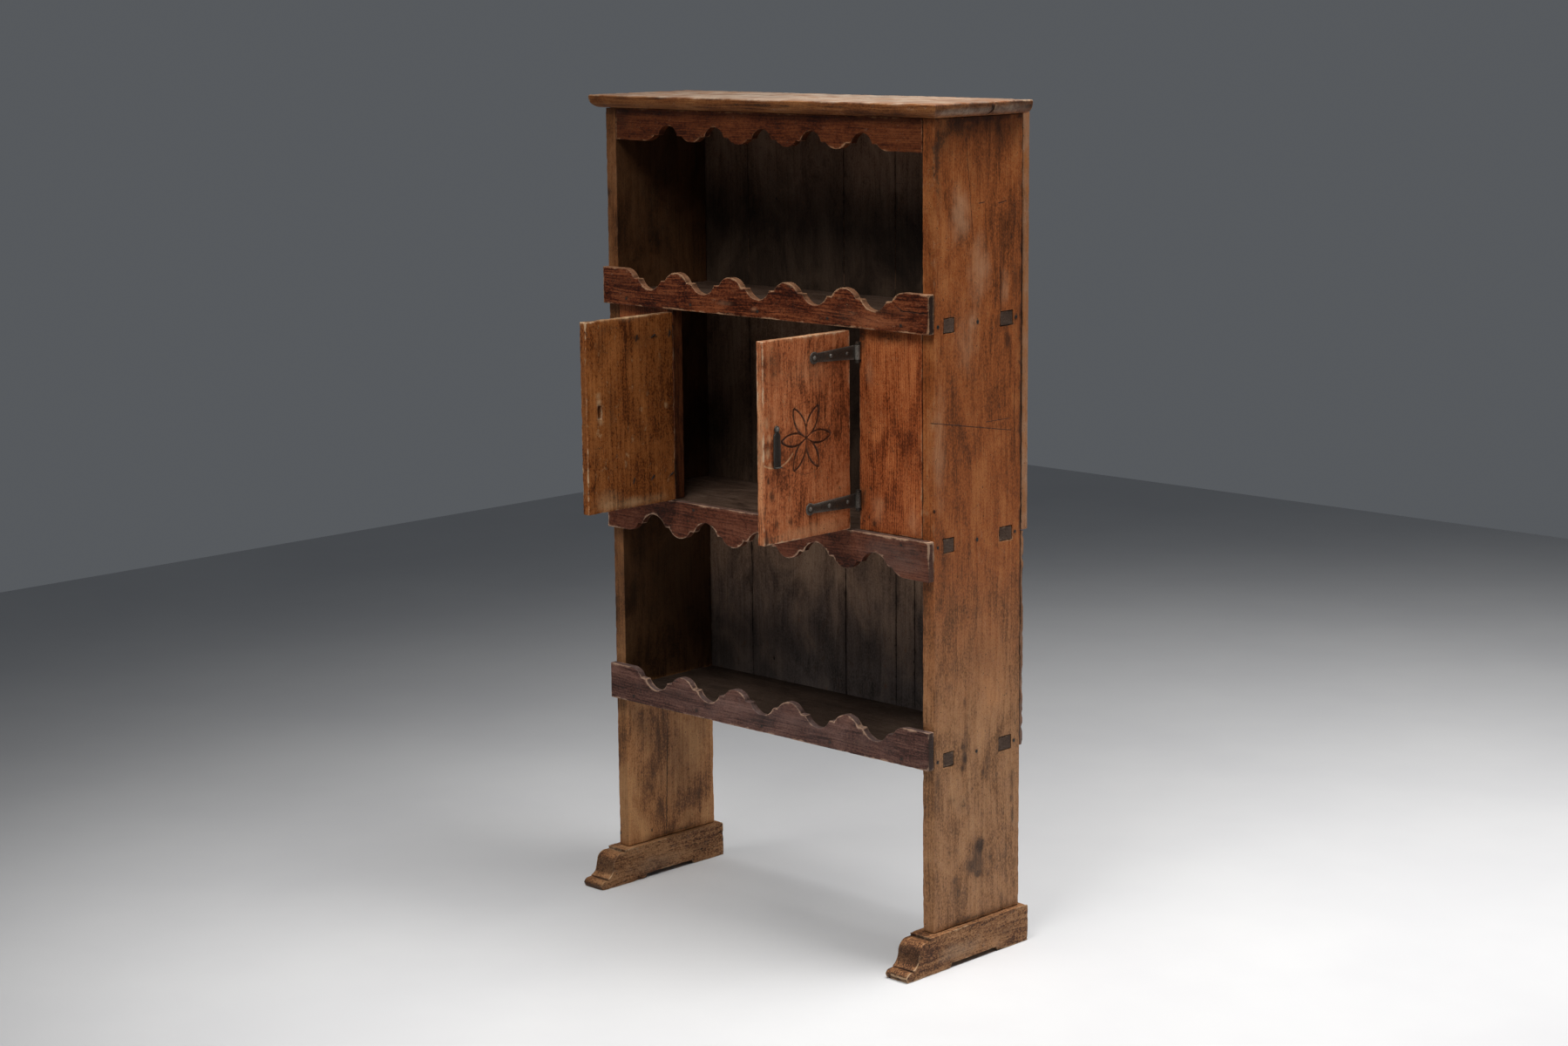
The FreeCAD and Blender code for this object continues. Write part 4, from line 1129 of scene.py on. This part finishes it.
def latch():
    """The hanging bar: a rolled eye, square shoulders, straight sides and a turned-out lip."""
    x, top, low, shoulder = latch_eye.x, latch_eye.z, latch_eye.z - 74.0, latch_eye.z - 12.0
    neck_half, neck_z = 4.5, top - 5.4
    shoulder_half, waist_half, lip_half = 9.0, 9.7, 9.5
    waist_z = (shoulder + low) / 2
    thickness, face, lip_out, lip_thickness = 3.0, -3.4, -7.4, 2.5
    bar = Template("front", x - neck_half, neck_z)
    bar.line(x - shoulder_half, shoulder)
    bar.arc((x - waist_half, waist_z), (x - lip_half, low), 2.0)
    bar.line(x + lip_half, low)
    bar.arc((x + waist_half, waist_z), (x + shoulder_half, shoulder), 2.0)
    bar.line(x + neck_half, neck_z)
    bar.arc((x, top + 7.0), (x - neck_half, neck_z), 9.0)
    bar.saw((0, thickness, 0))
    bar.shift(0, face, 0)
    bar.round_over(0.8, 2)
    bar.block((x - lip_half, lip_out, low), (x + lip_half, -3.0, low + lip_thickness))
    bar.round_over(0.6, 2)
    bar.cells(4.0, None, 4.0)
    bar.weather(0.2, 0.7, 55.0, 3.0)
    bar.paint([(WEAR, (x, -5.4, low + 1), (11, 4, 3), 1.0)], 0.9, None, 55.0)
    bar.finish("hanging_latch_bar", "latch", "forged_iron", latch_iron_finish, ["latch_bar"], right_swing)


latch()
forged_heads([(latch_eye + Vector((0, -3.8, 0)), Vector((0, -1, 0)))], 4.8, 2.6, 56).finish(
    "latch_nail_head", "right_door", "forged_iron", iron_finish, ["latch_nail"], right_swing)

rail_front = node_box("upper_gallery_rail")[0].y
rail_heads = [(Vector((x, rail_front, z)), Vector((0, -1, 0))) for z in shelf_middles for x in rail_nail_places]
side_heads = [(Vector((sign * outer_side, y, z)), Vector((sign, 0, 0))) for z in shelf_middles
              for y in side_nail_places for sign in (1, -1)]
# The nails of the back and the top are sunk a little below the wood
back_sunk, top_sunk = 1.15, 1.1
patch_edge, patch_top = 121, 838
back_nail_levels = (shelf_middles[2], shelf_middles[1] + 9, shelf_middles[0], 1640.0)
back_nail_places = (-425, -325, -265, -60, 10, 95, 150, 205, 420)
wide_rear, patch_rear = (node_box(f"back_plank_{plank}")[1].y for plank in ("wide", "patch"))
back_heads = [(Vector((x, (patch_rear if x > patch_edge and z < patch_top else wide_rear) - back_sunk, z)),
               Vector((0, 1, 0))) for z in back_nail_levels for x in back_nail_places]
top_face = node_box("top_front_plank")[1].z
top_heads = [(Vector((x, y, top_face - top_sunk)), Vector((0, 0, 1)))
             for x in (-434, 434) for y in (20, 110, 170, 235)]
for name, heads, half, height, seed, nodes in (
        ("rail_nail_heads", rail_heads, 3.0, 0.8, 57, ["rail_nails"]),
        ("side_nail_heads", side_heads, 3.6, 0.8, 58, ["side_nails"]),
        ("back_nail_heads", back_heads, 3.2, 1.0, 59, []),
        ("top_nail_heads", top_heads, 3.2, 1.0, 60, [])):
    forged_heads(heads, half, height, seed).finish(name, "case", "forged_iron", sunk_iron_finish, nodes)
for node in ("jamb_eyes_left", "jamb_eyes_right", "hinge_pins"):
    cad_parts[node].data.materials.clear()
    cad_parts[node].data.materials.append(iron_finish)

# The floor ends in a corner behind the dresser
floor_half = Vector((8.0, 8.0, 1.0))
floor_middle = Vector((3.84, -3.17, 0.0))

# The camera that was solved from the straight edges: yaw, pitch and roll in degrees
camera_turns = (44.275, 10.429, -0.525)
camera_place = (4.05964, -4.10944, 1.89599)
focal_pixels, picture_width, sensor_width = 3364.764, 1799, 36.0


def soft_light(name, place, aim, size, power, colour, spread):
    lamp = bpy.data.lights.new(name, "AREA")
    lamp.shape = "RECTANGLE"
    lamp.size, lamp.size_y = size
    lamp.energy = power
    lamp.spread = math.radians(spread)
    lamp.color = colour
    lamp_object = place_object(name, lamp)
    way = Vector(aim) - Vector(place)
    lamp_object.matrix_world = Matrix.Translation(place) @ way.to_track_quat("-Z", "Y").to_matrix().to_4x4()
    lamp_object.visible_camera = False


def studio():
    """A pale floor, soft lights overhead and in front, and the camera where the picture was taken."""
    bm = bmesh.new()
    bmesh.ops.create_grid(bm, x_segments=8, y_segments=8, size=1.0)
    bmesh.ops.scale(bm, vec=floor_half, verts=bm.verts)
    bmesh.ops.translate(bm, vec=floor_middle, verts=bm.verts)
    mesh = bpy.data.meshes.new("studio_floor")
    bm.to_mesh(mesh)
    bm.free()
    mesh.materials.append(plain_floor())
    floor = place_object("studio_floor", mesh)

    soft_light("overhead_softbox", (1.4, 1.05, 4.5), (1.4, 1.05, 0.0), (2.2, 2.2), 78.0, (1.0, 0.99, 0.975), 88)
    soft_light("front_softbox", (0.62, -1.55, 3.0), (0.15, -0.65, 0.0), (1.2, 1.0), 17.0, (1.0, 0.985, 0.96), 90)
    soft_light("floor_softbox", (-0.6, -1.3, 3.2), (-0.35, -0.5, 0.0), (1.2, 1.0), 3.2, (1.0, 0.99, 0.975), 52)
    soft_light("low_softbox", (-0.2, -3.2, 0.5), (0.0, 0.2, 0.62), (0.8, 0.6), 0.12, (1.0, 0.97, 0.94), 24)

    world = bpy.data.worlds.new("studio_air")
    bpy.context.scene.world = world
    world.use_nodes = True
    air = world.node_tree.nodes["Background"].inputs
    air["Color"].default_value = (0.86, 0.92, 1.0, 1.0)
    air["Strength"].default_value = 0.11

    yaw, pitch, roll = (math.radians(turn) for turn in camera_turns)
    right = Vector((math.cos(yaw), math.sin(yaw), 0))
    back = Vector((math.sin(yaw) * math.cos(pitch), -math.cos(yaw) * math.cos(pitch), math.sin(pitch)))
    up = back.cross(right)
    level = right * math.cos(roll) + up * math.sin(roll)
    upright = up * math.cos(roll) - right * math.sin(roll)
    camera = bpy.data.cameras.new("picture_camera")
    camera.sensor_fit = "HORIZONTAL"
    camera.sensor_width = sensor_width
    camera.lens = focal_pixels / picture_width * sensor_width
    viewer = place_object("picture_camera", camera)
    turn = Matrix((level, upright, back)).transposed().to_4x4()
    viewer.matrix_world = Matrix.Translation(camera_place) @ turn
    bpy.context.scene.camera = viewer
    bpy.context.scene.view_settings.view_transform = "Standard"


studio()
